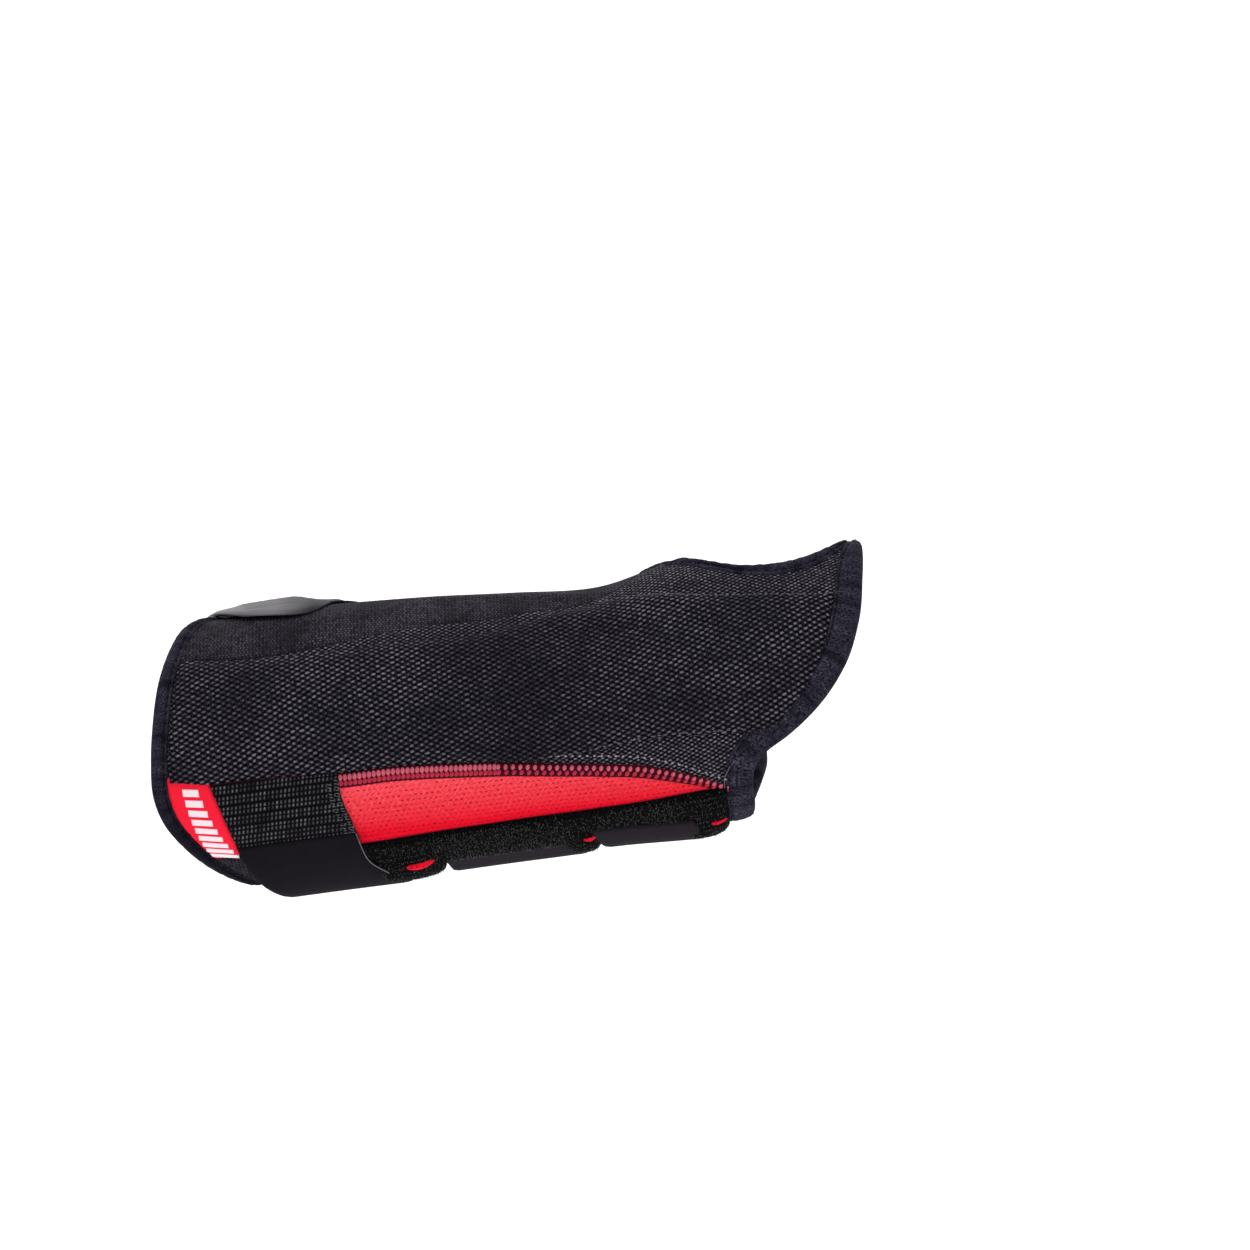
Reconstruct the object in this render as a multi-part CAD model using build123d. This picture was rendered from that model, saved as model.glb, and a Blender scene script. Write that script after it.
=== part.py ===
"""Wrist guard for a left forearm: a cloth sleeve around three stays, closed by three straps.

Millimetres. +X runs from the forearm to the fingers, -Y faces the palm, +Z is the thumb side.
The origin is the centre of the forearm opening. Angles go round the arm in degrees: 0 is the
palm side, 90 the little-finger side, 180 the back of the hand and -90 the thumb side.
"""
from build123d import *
import os
from math import cos, radians, sin, sqrt

# ---------------------------------------------------------------- driving dimensions
# The arm inside the sleeve: x, centre y, centre z, half thickness (y), half width (z).
ARM = [
    (-8, 0, 0, 29.0, 34.0),
    (20, 0, 0, 28.5, 33.6),
    (50, 0, 0.5, 27.3, 33.8),
    (80, 0, 0, 25.5, 33.0),
    (105, 0.2, -0.6, 24.0, 32.0),
    (128, 0.8, -1.2, 22.6, 31.2),
    (150, 2.2, 0.2, 21.4, 33.2),
    (172, 4.2, 1.0, 20.0, 33.8),
    (190, 6.0, 1.0, 18.8, 34.0),
    (210, 8.2, 1.2, 18.0, 33.6),
]
X_FIRST, X_LAST = ARM[0][0], ARM[-1][0]
LOFT_STEPS = 20

# Layers, as distances out from the arm.
LINER = (0.0, 1.4)
PANEL = (1.5, 2.9)
STAY = (3.1, 4.3)
POCKET_TOP = 5.0
LOOP_TOP = 4.4
LANDING_TOP = 4.7
BINDING = (-0.9, 3.9)
STAY_CLEARANCE = 0.15
LAYER_GAP = 0.08

# Sewing lines, as (x, angle) points.
ULNAR_SEAM = [(-8, 12), (10, 15), (55, 22.5), (97, 25.6), (124, 31.2), (137, 35.3), (150, 44), (160, 53.5), (210, 110)]
RADIAL_SEAM = [(-8, -39), (34, -33), (80, -43), (105, -47), (129, -56), (140, -70), (150, -88), (210, -88)]
POCKET_RADIAL = [(-8, -37), (34, -31.5), (75, -32.8), (100, -36), (115, -44), (131, -49.3), (148, -42), (170, -35.5), (210, -32)]
POCKET_ULNAR = [(-8, 11), (10, 14), (55, 21.5), (100, 25), (112, 26), (130, 22.5), (165, 22.5), (210, 12)]
FLAP_ANGLE = 118
GAP_EDGE = 154
BAND_START, BAND_END = 58, 116

# Ends: the forearm edge is (y, x) across the thickness, the palm edge (z, x) across the width.
FOREARM_EDGE = [(-60, 4.5), (-31, 6), (-26, 7.5), (-20, 11.5), (-13, 15.5), (-4, 21), (14, 29), (30, 33), (60, 35)]
PALM_EDGE = [(-60, 165), (-28, 164.5), (-20, 170), (-11, 183), (0, 192.5), (12, 198.5), (26, 202.5), (60, 206)]
FOREARM_BINDING, PALM_BINDING, BINDING_WALL = 5.0, 8.0, 1.0
THUMB_HOLE = dict(x=175, y=5, rx=23, ry=12, tilt=10)
THUMB_BINDING = 5.0

# Straps: centre x against angle, and the height of the inner face above the arm.
STRAP_THICK, HOOK_THICK, TAB_THICK = 1.4, 0.85, 1.5
ROOT_GAP, PEEL_GAP = 1.1, 1.0
SWING_ANGLE, PEEL_ANGLE = 118, 207
FOLD_LIFT = 1.8
TAB_STATIONS = [0.25, 0.5, 0.7, 0.85, 0.95, 1.0]
STRAPS = {
    "proximal": dict(
        width=37, root=60, end=262, tab_end=300,
        centre=[(60, 41.5), (94, 49.5), (118, 50), (207, 44.5), (262, 39.5), (300, 39)],
        height=[(60, 4.7), (75, 5.6), (94, 7.0), (118, 7.0), (150, 6.2), (245, 6.0), (262, 5.5), (300, 4.7)],
    ),
    "middle": dict(
        width=37, root=88, end=231, tab_end=246,
        centre=[(88, 96), (94, 98), (118, 99.5), (207, 97), (285, 94)],
        height=[(88, 4.7), (97, 5.8), (118, 6.6), (150, 6.2), (300, 6.0)],
    ),
    "distal": dict(
        width=28, root=80, end=225, tab_end=240,
        centre=[(80, 133.5), (94, 136), (118, 137), (207, 133), (285, 130)],
        height=[(80, 4.7), (94, 5.0), (118, 5.6), (150, 6.0), (300, 6.0)],
    ),
}


# ---------------------------------------------------------------- the arm's shape
def line(points):
    """A function that reads a broken line given as (position, value) points."""

    def value(at):
        low = max([i for i in range(len(points) - 1) if points[i][0] <= at], default=0)
        (x0, v0), (x1, v1) = points[low], points[low + 1]
        return v0 + (v1 - v0) * min(max((at - x0) / (x1 - x0), 0), 1)

    return value


def arm_at(x):
    """Centre y, centre z and the two half sizes of the arm at x, on a smooth curve."""
    low = max([i for i in range(len(ARM) - 1) if ARM[i][0] <= x], default=0)
    a, b = ARM[low], ARM[low + 1]
    before, after = ARM[max(low - 1, 0)], ARM[min(low + 2, len(ARM) - 1)]
    h = b[0] - a[0]
    t = (x - a[0]) / h
    values = []
    for k in range(1, 5):
        slope_a = (b[k] - before[k]) / (b[0] - before[0])
        slope_b = (after[k] - a[k]) / (after[0] - a[0])
        values.append(
            (2 * t**3 - 3 * t**2 + 1) * a[k] + (t**3 - 2 * t**2 + t) * h * slope_a
            + (3 * t**2 - 2 * t**3) * b[k] + (t**3 - t**2) * h * slope_b
        )
    return values


def point(x, angle, height):
    """The point at that angle round the arm and that height above it."""
    cy, cz, ry, rz = arm_at(x)
    a = radians(angle)
    return Vector(x, cy - (ry + height) * cos(a), cz - (rz + height) * sin(a))


def arm_solid(height):
    """The arm grown by height, as one smooth loft."""
    sections = []
    for i in range(LOFT_STEPS + 1):
        x = X_FIRST + (X_LAST - X_FIRST) * i / LOFT_STEPS
        cy, cz, ry, rz = arm_at(x)
        plane = Plane(origin=(x, cy, cz), x_dir=(0, 1, 0), z_dir=(1, 0, 0))
        sections.append(plane * Ellipse(ry + height, rz + height))
    return loft(sections)


ARMS = {}


def layer(low, high):
    """The tube between two heights above the arm."""
    for height in (low, high):
        if height not in ARMS:
            ARMS[height] = arm_solid(height)
    return ARMS[high] - ARMS[low]


# ---------------------------------------------------------------- cutters
REACH, FAN, WEDGE_STEPS = 40, 4, 18


def wedge(low, high):
    """A slice of space between two angles, each a number or a sewing line."""
    low_at = line(low) if isinstance(low, list) else (lambda x: low)
    high_at = line(high) if isinstance(high, list) else (lambda x: high)
    sections = []
    for i in range(WEDGE_STEPS + 1):
        x = X_FIRST + (X_LAST - X_FIRST) * i / WEDGE_STEPS
        cy, cz, _, _ = arm_at(x)
        a, b = low_at(x), high_at(x)
        rim = [point(x, a + (b - a) * k / FAN, REACH) for k in range(FAN + 1)]
        sections.append(Wire.make_polygon([Vector(x, cy, cz), *rim], close=True))
    return Solid.make_loft(sections, ruled=True)


def past_forearm_edge(offset):
    """All space on the hand's side of the forearm edge moved by offset along X."""
    edge = Spline(*[(x + offset, y) for y, x in FOREARM_EDGE])
    far = [(edge @ 1), (260, 60), (260, -60), (edge @ 0)]
    return extrude(make_face([edge, Polyline(*far)]), 80, both=True)


def before_palm_edge(offset):
    """All space on the forearm's side of the palm edge moved by offset along X."""
    edge = Spline(*[(x + offset, z) for z, x in PALM_EDGE])
    near = [(edge @ 1), (-60, 60), (-60, -60), (edge @ 0)]
    face = make_face([edge, Polyline(*near)])
    return Plane.XZ * extrude(face, 80, both=True)


def thumb_hole(grow):
    """The thumb hole through the thumb side, grown by that much all round."""
    h = THUMB_HOLE
    outline = Pos(h["x"], h["y"], 0) * Rot(0, 0, h["tilt"]) * Ellipse(h["rx"] + grow, h["ry"] + grow)
    return extrude(outline, 80)


def between_edges(forearm, palm, thumb):
    """A function that trims a layer back from the forearm, palm and thumb edges."""
    kept = past_forearm_edge(forearm) & before_palm_edge(-palm)
    hole = thumb_hole(thumb)
    return lambda shape: (shape & kept) - hole


# ---------------------------------------------------------------- sleeve
def sleeve_parts():
    """The liner and the outer panels, each stopping just inside its edge binding."""
    trim = between_edges(BINDING_WALL + 0.1, BINDING_WALL + 0.1, BINDING_WALL + 0.1)
    gap = wedge(GAP_EDGE, 360 - GAP_EDGE)
    panel = trim(layer(*PANEL))
    return {
        "inner_liner": trim(layer(*LINER)) - gap,
        "palmar_panel": panel & wedge(RADIAL_SEAM, ULNAR_SEAM),
        "radial_panel": panel & wedge(-FLAP_ANGLE, RADIAL_SEAM),
        "ulnar_panel": panel & wedge(ULNAR_SEAM, FLAP_ANGLE),
        "dorsal_ulnar_flap": panel & wedge(FLAP_ANGLE, GAP_EDGE),
        "dorsal_radial_flap": panel & wedge(-GAP_EDGE, -FLAP_ANGLE),
    }


def edge_bindings():
    """Folded tape round every raw edge: a U that holds the liner and the panels."""
    body = layer(*BINDING)
    core = layer(LINER[0] - LAYER_GAP, PANEL[1] + LAYER_GAP)
    gap = wedge(GAP_EDGE + 2, 358 - GAP_EDGE)
    shell = body - gap
    forearm = (shell & past_forearm_edge(0)) - past_forearm_edge(FOREARM_BINDING)
    forearm -= core & past_forearm_edge(BINDING_WALL)
    palm = (shell & before_palm_edge(0)) - before_palm_edge(-PALM_BINDING)
    palm -= core & before_palm_edge(-BINDING_WALL)
    thumb = (body & thumb_hole(THUMB_BINDING)) - thumb_hole(0)
    thumb -= core - thumb_hole(BINDING_WALL)
    thumb = thumb & before_palm_edge(-PALM_BINDING - 0.1)
    palm -= thumb_hole(BINDING_WALL)
    trim = between_edges(FOREARM_BINDING + 0.1, PALM_BINDING + 0.1, THUMB_BINDING + 0.1)
    bound = trim(body)
    inner = trim(core)
    ulnar = (bound & wedge(GAP_EDGE - 5, GAP_EDGE + 1.5)) - (inner & wedge(GAP_EDGE - 9, GAP_EDGE + 0.1))
    radial = (bound & wedge(-GAP_EDGE - 1.5, 5 - GAP_EDGE)) - (inner & wedge(-GAP_EDGE - 0.1, 9 - GAP_EDGE))
    return {
        "forearm_binding": forearm,
        "palm_binding": palm,
        "thumb_binding": thumb,
        "ulnar_edge_binding": ulnar,
        "radial_edge_binding": radial,
    }


# ---------------------------------------------------------------- stays and their pockets
def slab(x0, x1):
    """All space between two x positions."""
    return Pos((x0 + x1) / 2, 0, 0) * Box(x1 - x0, 200, 200)


def sleeve_over(stay_space, pocket_space, top):
    """A pocket sewn flat round its edge and hollow where the stay lies."""
    hollow = layer(PANEL[1], STAY[1] + STAY_CLEARANCE) & stay_space
    return (layer(PANEL[1] + LAYER_GAP, top) & pocket_space) - hollow


def palmar_stay():
    """The bent aluminium spoon, its two dipped end caps and the woven pocket over it."""
    width_line = [(-8, 12), (40, 13), (110, 13), (150, 17), (185, 17), (210, 8)]
    centre_line = [(-8, -10), (60, -6), (110, -8), (150, -10), (210, -8)]
    half, centre = line(width_line), line(centre_line)
    stations = [X_FIRST, 40, 110, 150, 185, X_LAST]
    low = [(x, centre(x) - half(x)) for x in stations]
    high = [(x, centre(x) + half(x)) for x in stations]
    room_low = [(x, v - 1.5) for x, v in low]
    room_high = [(x, v + 1.5) for x, v in high]
    bar = layer(*STAY) & wedge(low, high)
    pocket = sleeve_over(
        wedge(room_low, room_high) & slab(18, 176),
        wedge(POCKET_RADIAL, POCKET_ULNAR) & past_forearm_edge(5.4) & before_palm_edge(-8.6),
        POCKET_TOP,
    )
    return {
        "palmar_stay": bar & slab(26, 168),
        "palmar_stay_caps": (bar & slab(20, 25.8)) + (bar & slab(168.2, 174)),
        "palmar_stay_pocket": pocket - thumb_hole(THUMB_BINDING + 0.4),
    }


def dorsal_stays():
    """Two flat spring stays beside the dorsal gap. The loop landing is the thumb side's pocket."""
    parts = {}
    for side, sign in (("ulnar", 1), ("radial", -1)):
        a, b = sorted((sign * 133, sign * 145))
        stay_room = wedge(a - 1, b + 1) & slab(44, 148)
        parts[f"dorsal_{side}_stay"] = layer(*STAY) & wedge(a, b) & slab(46, 146)
        if side == "ulnar":
            space = wedge(130, 148) & slab(41, 152)
            parts["dorsal_ulnar_stay_pocket"] = sleeve_over(stay_room, space, POCKET_TOP - 0.2)
        else:
            free_edge = [(X_FIRST, -80), (60, -80), (68, -105), (118, -106), (126, -117), (X_LAST, -117)]
            space = wedge(-148, free_edge) & slab(41, 152)
            landing = sleeve_over(stay_room, space, LANDING_TOP)
            parts["radial_loop_landing"] = landing - thumb_hole(THUMB_BINDING + 0.4)
    return parts


# ---------------------------------------------------------------- little-finger side
LOBES = [(34, 77), (84, 121.5), (126, 156)]
SLOTS = [(64, 75), (110, 119.5), (144, 154)]


def ulnar_band():
    """The brushed loop band: three rounded lobes, each with a narrow slot at its hand end."""
    body = layer(PANEL[1] + LAYER_GAP, LOOP_TOP) & past_forearm_edge(5.4) & before_palm_edge(-8.4)
    band = body & wedge(BAND_START, 90)
    for x0, x1 in LOBES:
        outline = Pos((x0 + x1) / 2, 6) * RectangleRounded(x1 - x0, 30, 9)
        lobe = body & wedge(88, BAND_END) & extrude(outline, -80)
        band = band + lobe
    for x0, x1 in SLOTS:
        outline = Pos((x0 + x1) / 2, 0.3) * SlotOverall(x1 - x0, 2.6)
        band -= extrude(outline, -80)
    return band


def sizing_bars():
    """A ladder of white printed bars on the red panel beside the forearm edge."""
    bars = []
    skin = layer(PANEL[1] + 0.02, PANEL[1] + 0.22)
    for k in range(9):
        angle = 20 + 4.4 * k
        x = 13.3 + 0.16 * k + 0.06 * k * k
        bars.append(skin & wedge(angle - 1.15, angle + 1.15) & slab(x, x + 4.4))
    return Compound(bars)


def ulnar_stitching():
    """The raised cover-stitch that joins the palmar panel to the red panel."""
    low = [(x, a - 1.8) for x, a in ULNAR_SEAM]
    high = [(x, a + 1.8) for x, a in ULNAR_SEAM]
    strip = layer(PANEL[1] + LAYER_GAP, PANEL[1] + 0.5) & wedge(low, high) & slab(57, 158)
    strip = strip & before_palm_edge(-8.4)
    pocket_edge = [(x, a + 0.3) for x, a in POCKET_ULNAR]
    return strip - wedge([(x, a - 30) for x, a in pocket_edge], pocket_edge)


# ---------------------------------------------------------------- straps
def across(x, angle, height, width, thick):
    """One cross-section of a strap: width along the arm, thickness outwards."""
    along = (point(x + 5, angle, height) - point(x - 5, angle, height)).normalized()
    ahead = (point(x, angle + 1, height) - point(x, angle - 1, height)).normalized()
    plane = Plane(origin=point(x, angle, height), x_dir=along, z_dir=ahead)
    return plane * (Pos(0, thick / 2) * Rectangle(width, thick))


def ribbon(strap, start, end, width, thick, lift=0.0, ends=()):
    """A band that follows its strap from one angle to another. ends narrows it: (angle, width)."""
    centre, height = line(strap["centre"]), line(strap["height"])
    steps = max(2, round((end - start) / 11))
    angles = [start + (end - start) * k / steps for k in range(steps + 1)]
    widths = {a: width for a in angles}
    widths.update(dict(ends))
    lifts = lift if callable(lift) else (lambda a: lift)
    sections = [
        across(centre(a), a, height(a) + lifts(a), widths[a], thick) for a in sorted(widths)
    ]
    return loft(sections)


def strap_parts(name):
    """One strap: its sewn root, the free web, and the peeling end with hooks and pull tab."""
    strap = STRAPS[name]
    w, end, tab_end = strap["width"], strap["end"], strap["tab_end"]
    tab_start = end - 8

    def tab_lift(angle):
        return (STRAP_THICK + 0.05) * (1 - max(0, angle - end - 2) / (tab_end - end - 2) * 0.7)

    rounding = [(end + s * (tab_end - end), w * sqrt(1 - 0.84 * s * s)) for s in TAB_STATIONS]
    clear_of_sleeve = arm_solid(LANDING_TOP + 0.35)
    strap_end = ribbon(strap, PEEL_ANGLE, end, w, STRAP_THICK)
    hooks = ribbon(strap, PEEL_ANGLE + 3, end, w - 4, HOOK_THICK, -HOOK_THICK - 0.05)
    tab = ribbon(strap, tab_start, end, w, TAB_THICK, tab_lift, rounding)
    return {
        f"{name}_strap_root": ribbon(strap, strap["root"], SWING_ANGLE - ROOT_GAP, w, STRAP_THICK),
        f"{name}_strap": ribbon(strap, SWING_ANGLE, PEEL_ANGLE - PEEL_GAP, w, STRAP_THICK),
        f"{name}_strap_end": strap_end,
        f"{name}_hook_pad": hooks - clear_of_sleeve - strap_end,
        f"{name}_pull_tab": tab - strap_end,
    }


def elastic_panel():
    """The ribbed elastic between the palm seam and the forearm strap."""
    outline = make_face(Polyline((19, -6), (26.5, -34), (57.5, -34), (53, -6), close=True))
    sheet = layer(PANEL[1] + LAYER_GAP, PANEL[1] + 1.4) & (Plane.XZ * extrude(outline, 60))
    return sheet & wedge([(x, a + 0.6) for x, a in POCKET_ULNAR], BAND_START - 0.4)


def fold_point(name, angle):
    """Where a strap folds, just over its outer face. Every fold line runs along X."""
    strap = STRAPS[name]
    x = line(strap["centre"])(angle)
    return point(x, angle, line(strap["height"])(angle) + STRAP_THICK + FOLD_LIFT)


# ---------------------------------------------------------------- write the parts
def main():
    parts = {}
    parts.update(sleeve_parts())
    parts.update(edge_bindings())
    parts.update(palmar_stay())
    parts.update(dorsal_stays())
    parts["ulnar_loop_band"] = ulnar_band()
    parts["ulnar_stitching"] = ulnar_stitching()
    parts["sizing_bars"] = sizing_bars()
    parts["proximal_elastic"] = elastic_panel()
    for name in STRAPS:
        parts.update(strap_parts(name))
        for joint, angle in (("swing", SWING_ANGLE), ("peel", PEEL_ANGLE)):
            print("fold", name, joint, tuple(fold_point(name, angle)))
    os.makedirs("parts", exist_ok=True)
    for name, shape in parts.items():
        export_step(Compound(shape.solids()), f"parts/{name}.step")


main()
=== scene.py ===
"""Looks for the wrist guard: cloth, tapes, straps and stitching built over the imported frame.

The arm's shape is written in millimetres, as in the part's source, and every mesh is scaled to
metres when it is made. Angles go round the arm: 0 palm side, 90 little-finger side, 180 back of
the hand, -90 thumb side. Heights are distances out from the arm.
"""

import math

import bmesh
import bpy
import numpy as np
from mathutils import Matrix, Vector


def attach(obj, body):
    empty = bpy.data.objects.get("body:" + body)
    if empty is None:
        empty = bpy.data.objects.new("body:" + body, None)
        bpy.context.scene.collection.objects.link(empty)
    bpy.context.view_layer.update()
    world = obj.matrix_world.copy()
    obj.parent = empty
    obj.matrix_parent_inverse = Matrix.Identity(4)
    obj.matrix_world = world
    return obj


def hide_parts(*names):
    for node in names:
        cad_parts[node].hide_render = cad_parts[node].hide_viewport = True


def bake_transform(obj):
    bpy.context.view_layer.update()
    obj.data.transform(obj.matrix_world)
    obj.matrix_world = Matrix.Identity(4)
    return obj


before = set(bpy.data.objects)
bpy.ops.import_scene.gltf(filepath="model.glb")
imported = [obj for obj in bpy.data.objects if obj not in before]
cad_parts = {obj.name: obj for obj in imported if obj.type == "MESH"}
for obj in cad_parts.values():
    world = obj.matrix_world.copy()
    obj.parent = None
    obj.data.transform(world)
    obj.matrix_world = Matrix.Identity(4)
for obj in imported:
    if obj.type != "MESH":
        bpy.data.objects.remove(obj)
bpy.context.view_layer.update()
MM = 0.001
RANDOM = np.random.default_rng(7)

# ---------------------------------------------------------------- the arm inside the sleeve
# x, centre y, centre z, half thickness (y), half width (z)
ARM = np.array([
    (-8, 0, 0, 29.0, 34.0),
    (20, 0, 0, 28.5, 33.6),
    (50, 0, 0.5, 27.3, 33.8),
    (80, 0, 0, 25.5, 33.0),
    (105, 0.2, -0.6, 24.0, 32.0),
    (128, 0.8, -1.2, 22.6, 31.2),
    (150, 2.2, 0.2, 21.4, 33.2),
    (172, 4.2, 1.0, 20.0, 33.8),
    (190, 6.0, 1.0, 18.8, 34.0),
    (210, 8.2, 1.2, 18.0, 33.6),
])


def smooth_line(points):
    """A function that reads a smooth curve through (position, value) points."""
    table = np.array(points, float)
    at, value = table[:, 0], table[:, 1]
    slope = np.gradient(value, at)

    def read(x):
        x = np.clip(np.asarray(x, float), at[0], at[-1])
        i = np.clip(np.searchsorted(at, x) - 1, 0, len(at) - 2)
        h = at[i + 1] - at[i]
        t = (x - at[i]) / h
        return (
            (2 * t**3 - 3 * t**2 + 1) * value[i] + (t**3 - 2 * t**2 + t) * h * slope[i]
            + (3 * t**2 - 2 * t**3) * value[i + 1] + (t**3 - t**2) * h * slope[i + 1]
        )

    return read


ARM_CURVES = [smooth_line(ARM[:, [0, k]]) for k in range(1, 5)]
GIRTH_ANGLES = np.radians(np.arange(-200, 381))
GIRTH_STEPS = np.hypot(25 * np.sin(GIRTH_ANGLES), 33 * np.cos(GIRTH_ANGLES))[1:] * np.diff(GIRTH_ANGLES)
GIRTH = np.concatenate(([0], np.cumsum(GIRTH_STEPS)))


def girth(angle):
    """Distance round a middling section of the arm, in mm."""
    return np.interp(np.radians(angle), GIRTH_ANGLES, GIRTH)


def step(low, high, x):
    """0 below low, 1 above high and a smooth rise between."""
    t = np.clip((np.asarray(x, float) - low) / (high - low), 0, 1)
    return t * t * (3 - 2 * t)


def bump(x, centre, width):
    """1 at the centre, falling smoothly to 0 on each side."""
    return np.exp(-((np.asarray(x, float) - centre) / width) ** 2)


def arrays(*values):
    """The values as float arrays of one shape."""
    return np.broadcast_arrays(*(np.asarray(v, float) for v in values))


def cos_sin(degrees):
    return math.cos(math.radians(degrees)), math.sin(math.radians(degrees))


def unit_rows(vectors):
    """Each row scaled to length 1."""
    return vectors / np.linalg.norm(vectors, axis=1)[:, None]


def distances(points):
    """How far along the line through the points each of them is."""
    return np.concatenate(([0], np.cumsum(np.linalg.norm(np.diff(points, axis=0), axis=1))))


# Folds of the worn cloth: centre x and angle, half length, half width, direction, height.
FOLDS = [
    (128, -38, 26, 2.6, 16, 0.55),
    (141, -44, 22, 2.2, 24, 0.5),
    (118, -62, 24, 2.4, 10, 0.45),
    (112, -20, 30, 3.4, 6, 0.35),
    (150, 8, 24, 3.0, -8, 0.4),
    (78, -8, 34, 4.0, 3, 0.25),
    (166, -12, 18, 3.0, -14, 0.35),
    (36, -18, 20, 4.5, 12, 0.3),
    (96, -70, 30, 2.4, 5, 0.35),
    (60, -58, 26, 3.0, -4, 0.3),
    (84, 44, 30, 3.4, 4, 0.25),
    (122, 48, 22, 3.0, 9, 0.3),
    (90, 140, 30, 3.0, 4, 0.3),
    (70, 228, 30, 3.2, -4, 0.3),
    (120, 238, 30, 2.6, 8, 0.35),
]


def relief(x, angle):
    """How far the worn cloth stands off the arm's smooth shape: muscle, folds and small waves."""
    x, angle = arrays(x, angle)
    round_ = (angle + 110) % 360 - 110
    out = 2.0 * bump(x, 150, 13) * bump(round_, -62, 26)
    out = out + 0.8 * bump(x, 176, 16) * bump(round_, -30, 22)
    out = out - 1.7 * bump(x, 166, 9) * bump(round_, 92, 32)
    for fx, fa, long, wide, turn, tall in FOLDS:
        du, dv = x - fx, (round_ - fa) * SLEEVE_DEGREE
        c, s = cos_sin(turn)
        along, over = du * c + dv * s, dv * c - du * s
        over = over + 0.9 * np.sin(along / 9.0 + fa)
        out = out + tall * np.exp(-((along / long) ** 2) - (over / wide) ** 2)
    out = out + 0.13 * np.sin(x / 7.3 + round_ / 21) * np.sin(round_ / 9.5 - x / 31)
    return out


def place(x, angle, height, worn=1.0):
    """Points in metres at x, angle and height over the arm, following the worn cloth."""
    x, angle, height = arrays(x, angle, height)
    cy, cz, ry, rz = (curve(x) for curve in ARM_CURVES)
    h = height + worn * relief(x, angle)
    a = np.radians(angle)
    return np.stack((x, cy - (ry + h) * np.cos(a), cz - (rz + h) * np.sin(a)), -1) * MM


# ---------------------------------------------------------------- edges and sewing lines
FOREARM_RIM = smooth_line([
    (-160, 32.5), (-154, 32), (-120, 29), (-90, 21.5), (-68, 15.8), (-48, 12.4), (-28, 9.3), (-10, 7.3),
    (7, 5.8), (24, 5.2), (38, 7.2), (50, 11), (62, 15.2), (81, 21.5), (100, 26), (120, 29), (154, 32),
    (160, 32.5),
])
PALM_RIM = smooth_line([
    (-160, 198.5), (-154, 199.3), (-120, 203), (-90, 203.5), (-46, 201.7), (-19, 198.5), (2, 192.5),
    (20, 182.5), (29.6, 175), (36, 169), (43, 165.6), (52, 164.6), (70, 164.6), (90, 164.5), (120, 165),
    (136, 168), (148, 170.3), (154, 170.6), (160, 170.6),
])
HOLE = dict(x=175.0, y=5.0, rx=23.0, ry=12.0, tilt=10.0)
ULNAR_SEAM = smooth_line([
    (-8, 12), (10, 15), (31, 19.4), (55, 22.6), (70, 22.4), (84, 23.7), (97.5, 25.6), (111, 28.4),
    (124, 31.2), (137, 35.3), (150, 43.9), (160, 53.5), (210, 110),
])
PANEL_SEAM = smooth_line([
    (-8, -39), (17, -36.5), (34, -33), (50, -34), (65, -38), (80, -42.5), (95, -43.5), (105, -46),
    (116, -50), (129, -55), (136, -62), (143, -76), (150, -88), (210, -88),
])
POCKET_HIGH = smooth_line([
    (-8, -37), (17, -35.5), (34, -31.5), (60, -31), (75, -32.8), (90, -33.3), (100, -35.8),
    (108, -39.5), (115, -44), (123, -48), (131, -49.3), (138, -46.8), (146, -42.5), (156, -39),
    (170, -35.5), (183, -33), (195, -32.5), (210, -32),
])
POCKET_LOW = smooth_line([
    (-8, 15.5), (12.4, 17.8), (20, 20.0), (31, 20.4), (55, 21.8), (70, 21.4), (84, 22.7), (98, 24.6),
    (108, 26.2), (119, 25.2), (130, 22.9), (141, 22.2), (152, 23.2), (163, 24.2), (180, 24), (210, 20),
])
BAND_TOP = smooth_line([
    (20, 57), (55, 60.5), (82, 58.6), (97, 57.7), (108, 57.2), (115, 57), (126, 55.6), (137, 54.2),
    (150, 52), (160, 51), (170, 50),
])
GAP_EDGE = 157.0
FLAP_SEAM = 118

# Heights in mm of the lining, of the outer panels, and of the pieces sewn on them.
LINING = (0.0, 1.4)
PANEL = (1.5, 2.9)
SEWN_ON = 2.95
# Millimetres per degree round the sleeve, at its loop band and on the straps.
SLEEVE_DEGREE, BAND_DEGREE, STRAP_DEGREE = 0.52, 0.6, 0.62


def in_hole(x, angle, grow):
    """Above 1 outside the thumb hole grown by that much, and below 1 inside it."""
    p = place(x, angle, 2.0) / MM
    c, s = cos_sin(HOLE["tilt"])
    dx, dy = p[..., 0] - HOLE["x"], p[..., 1] - HOLE["y"]
    r = ((dx * c + dy * s) / (HOLE["rx"] + grow)) ** 2 + ((dy * c - dx * s) / (HOLE["ry"] + grow)) ** 2
    return np.where(p[..., 2] > 0, r, 9.0)


# ---------------------------------------------------------------- making meshes
def new_piece(name, points, faces, material, uv=None, smooth=True):
    """A mesh object in metres. uv is one (along, round) pair in mm for each point."""
    mesh = bpy.data.meshes.new(name)
    corners = [tuple(p) for p in np.asarray(points, float)]
    mesh.from_pydata(corners, [], [tuple(int(i) for i in f) for f in faces])
    if uv is not None:
        layer = mesh.uv_layers.new(name="cloth")
        index = np.zeros(len(mesh.loops), int)
        mesh.loops.foreach_get("vertex_index", index)
        layer.data.foreach_set("uv", np.asarray(uv, float)[index].astype(np.float32).ravel())
    mesh.materials.append(material)
    mesh.validate()
    if smooth:
        mesh.shade_smooth()
    piece = bpy.data.objects.new(name, mesh)
    bpy.context.scene.collection.objects.link(piece)
    return piece


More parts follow.
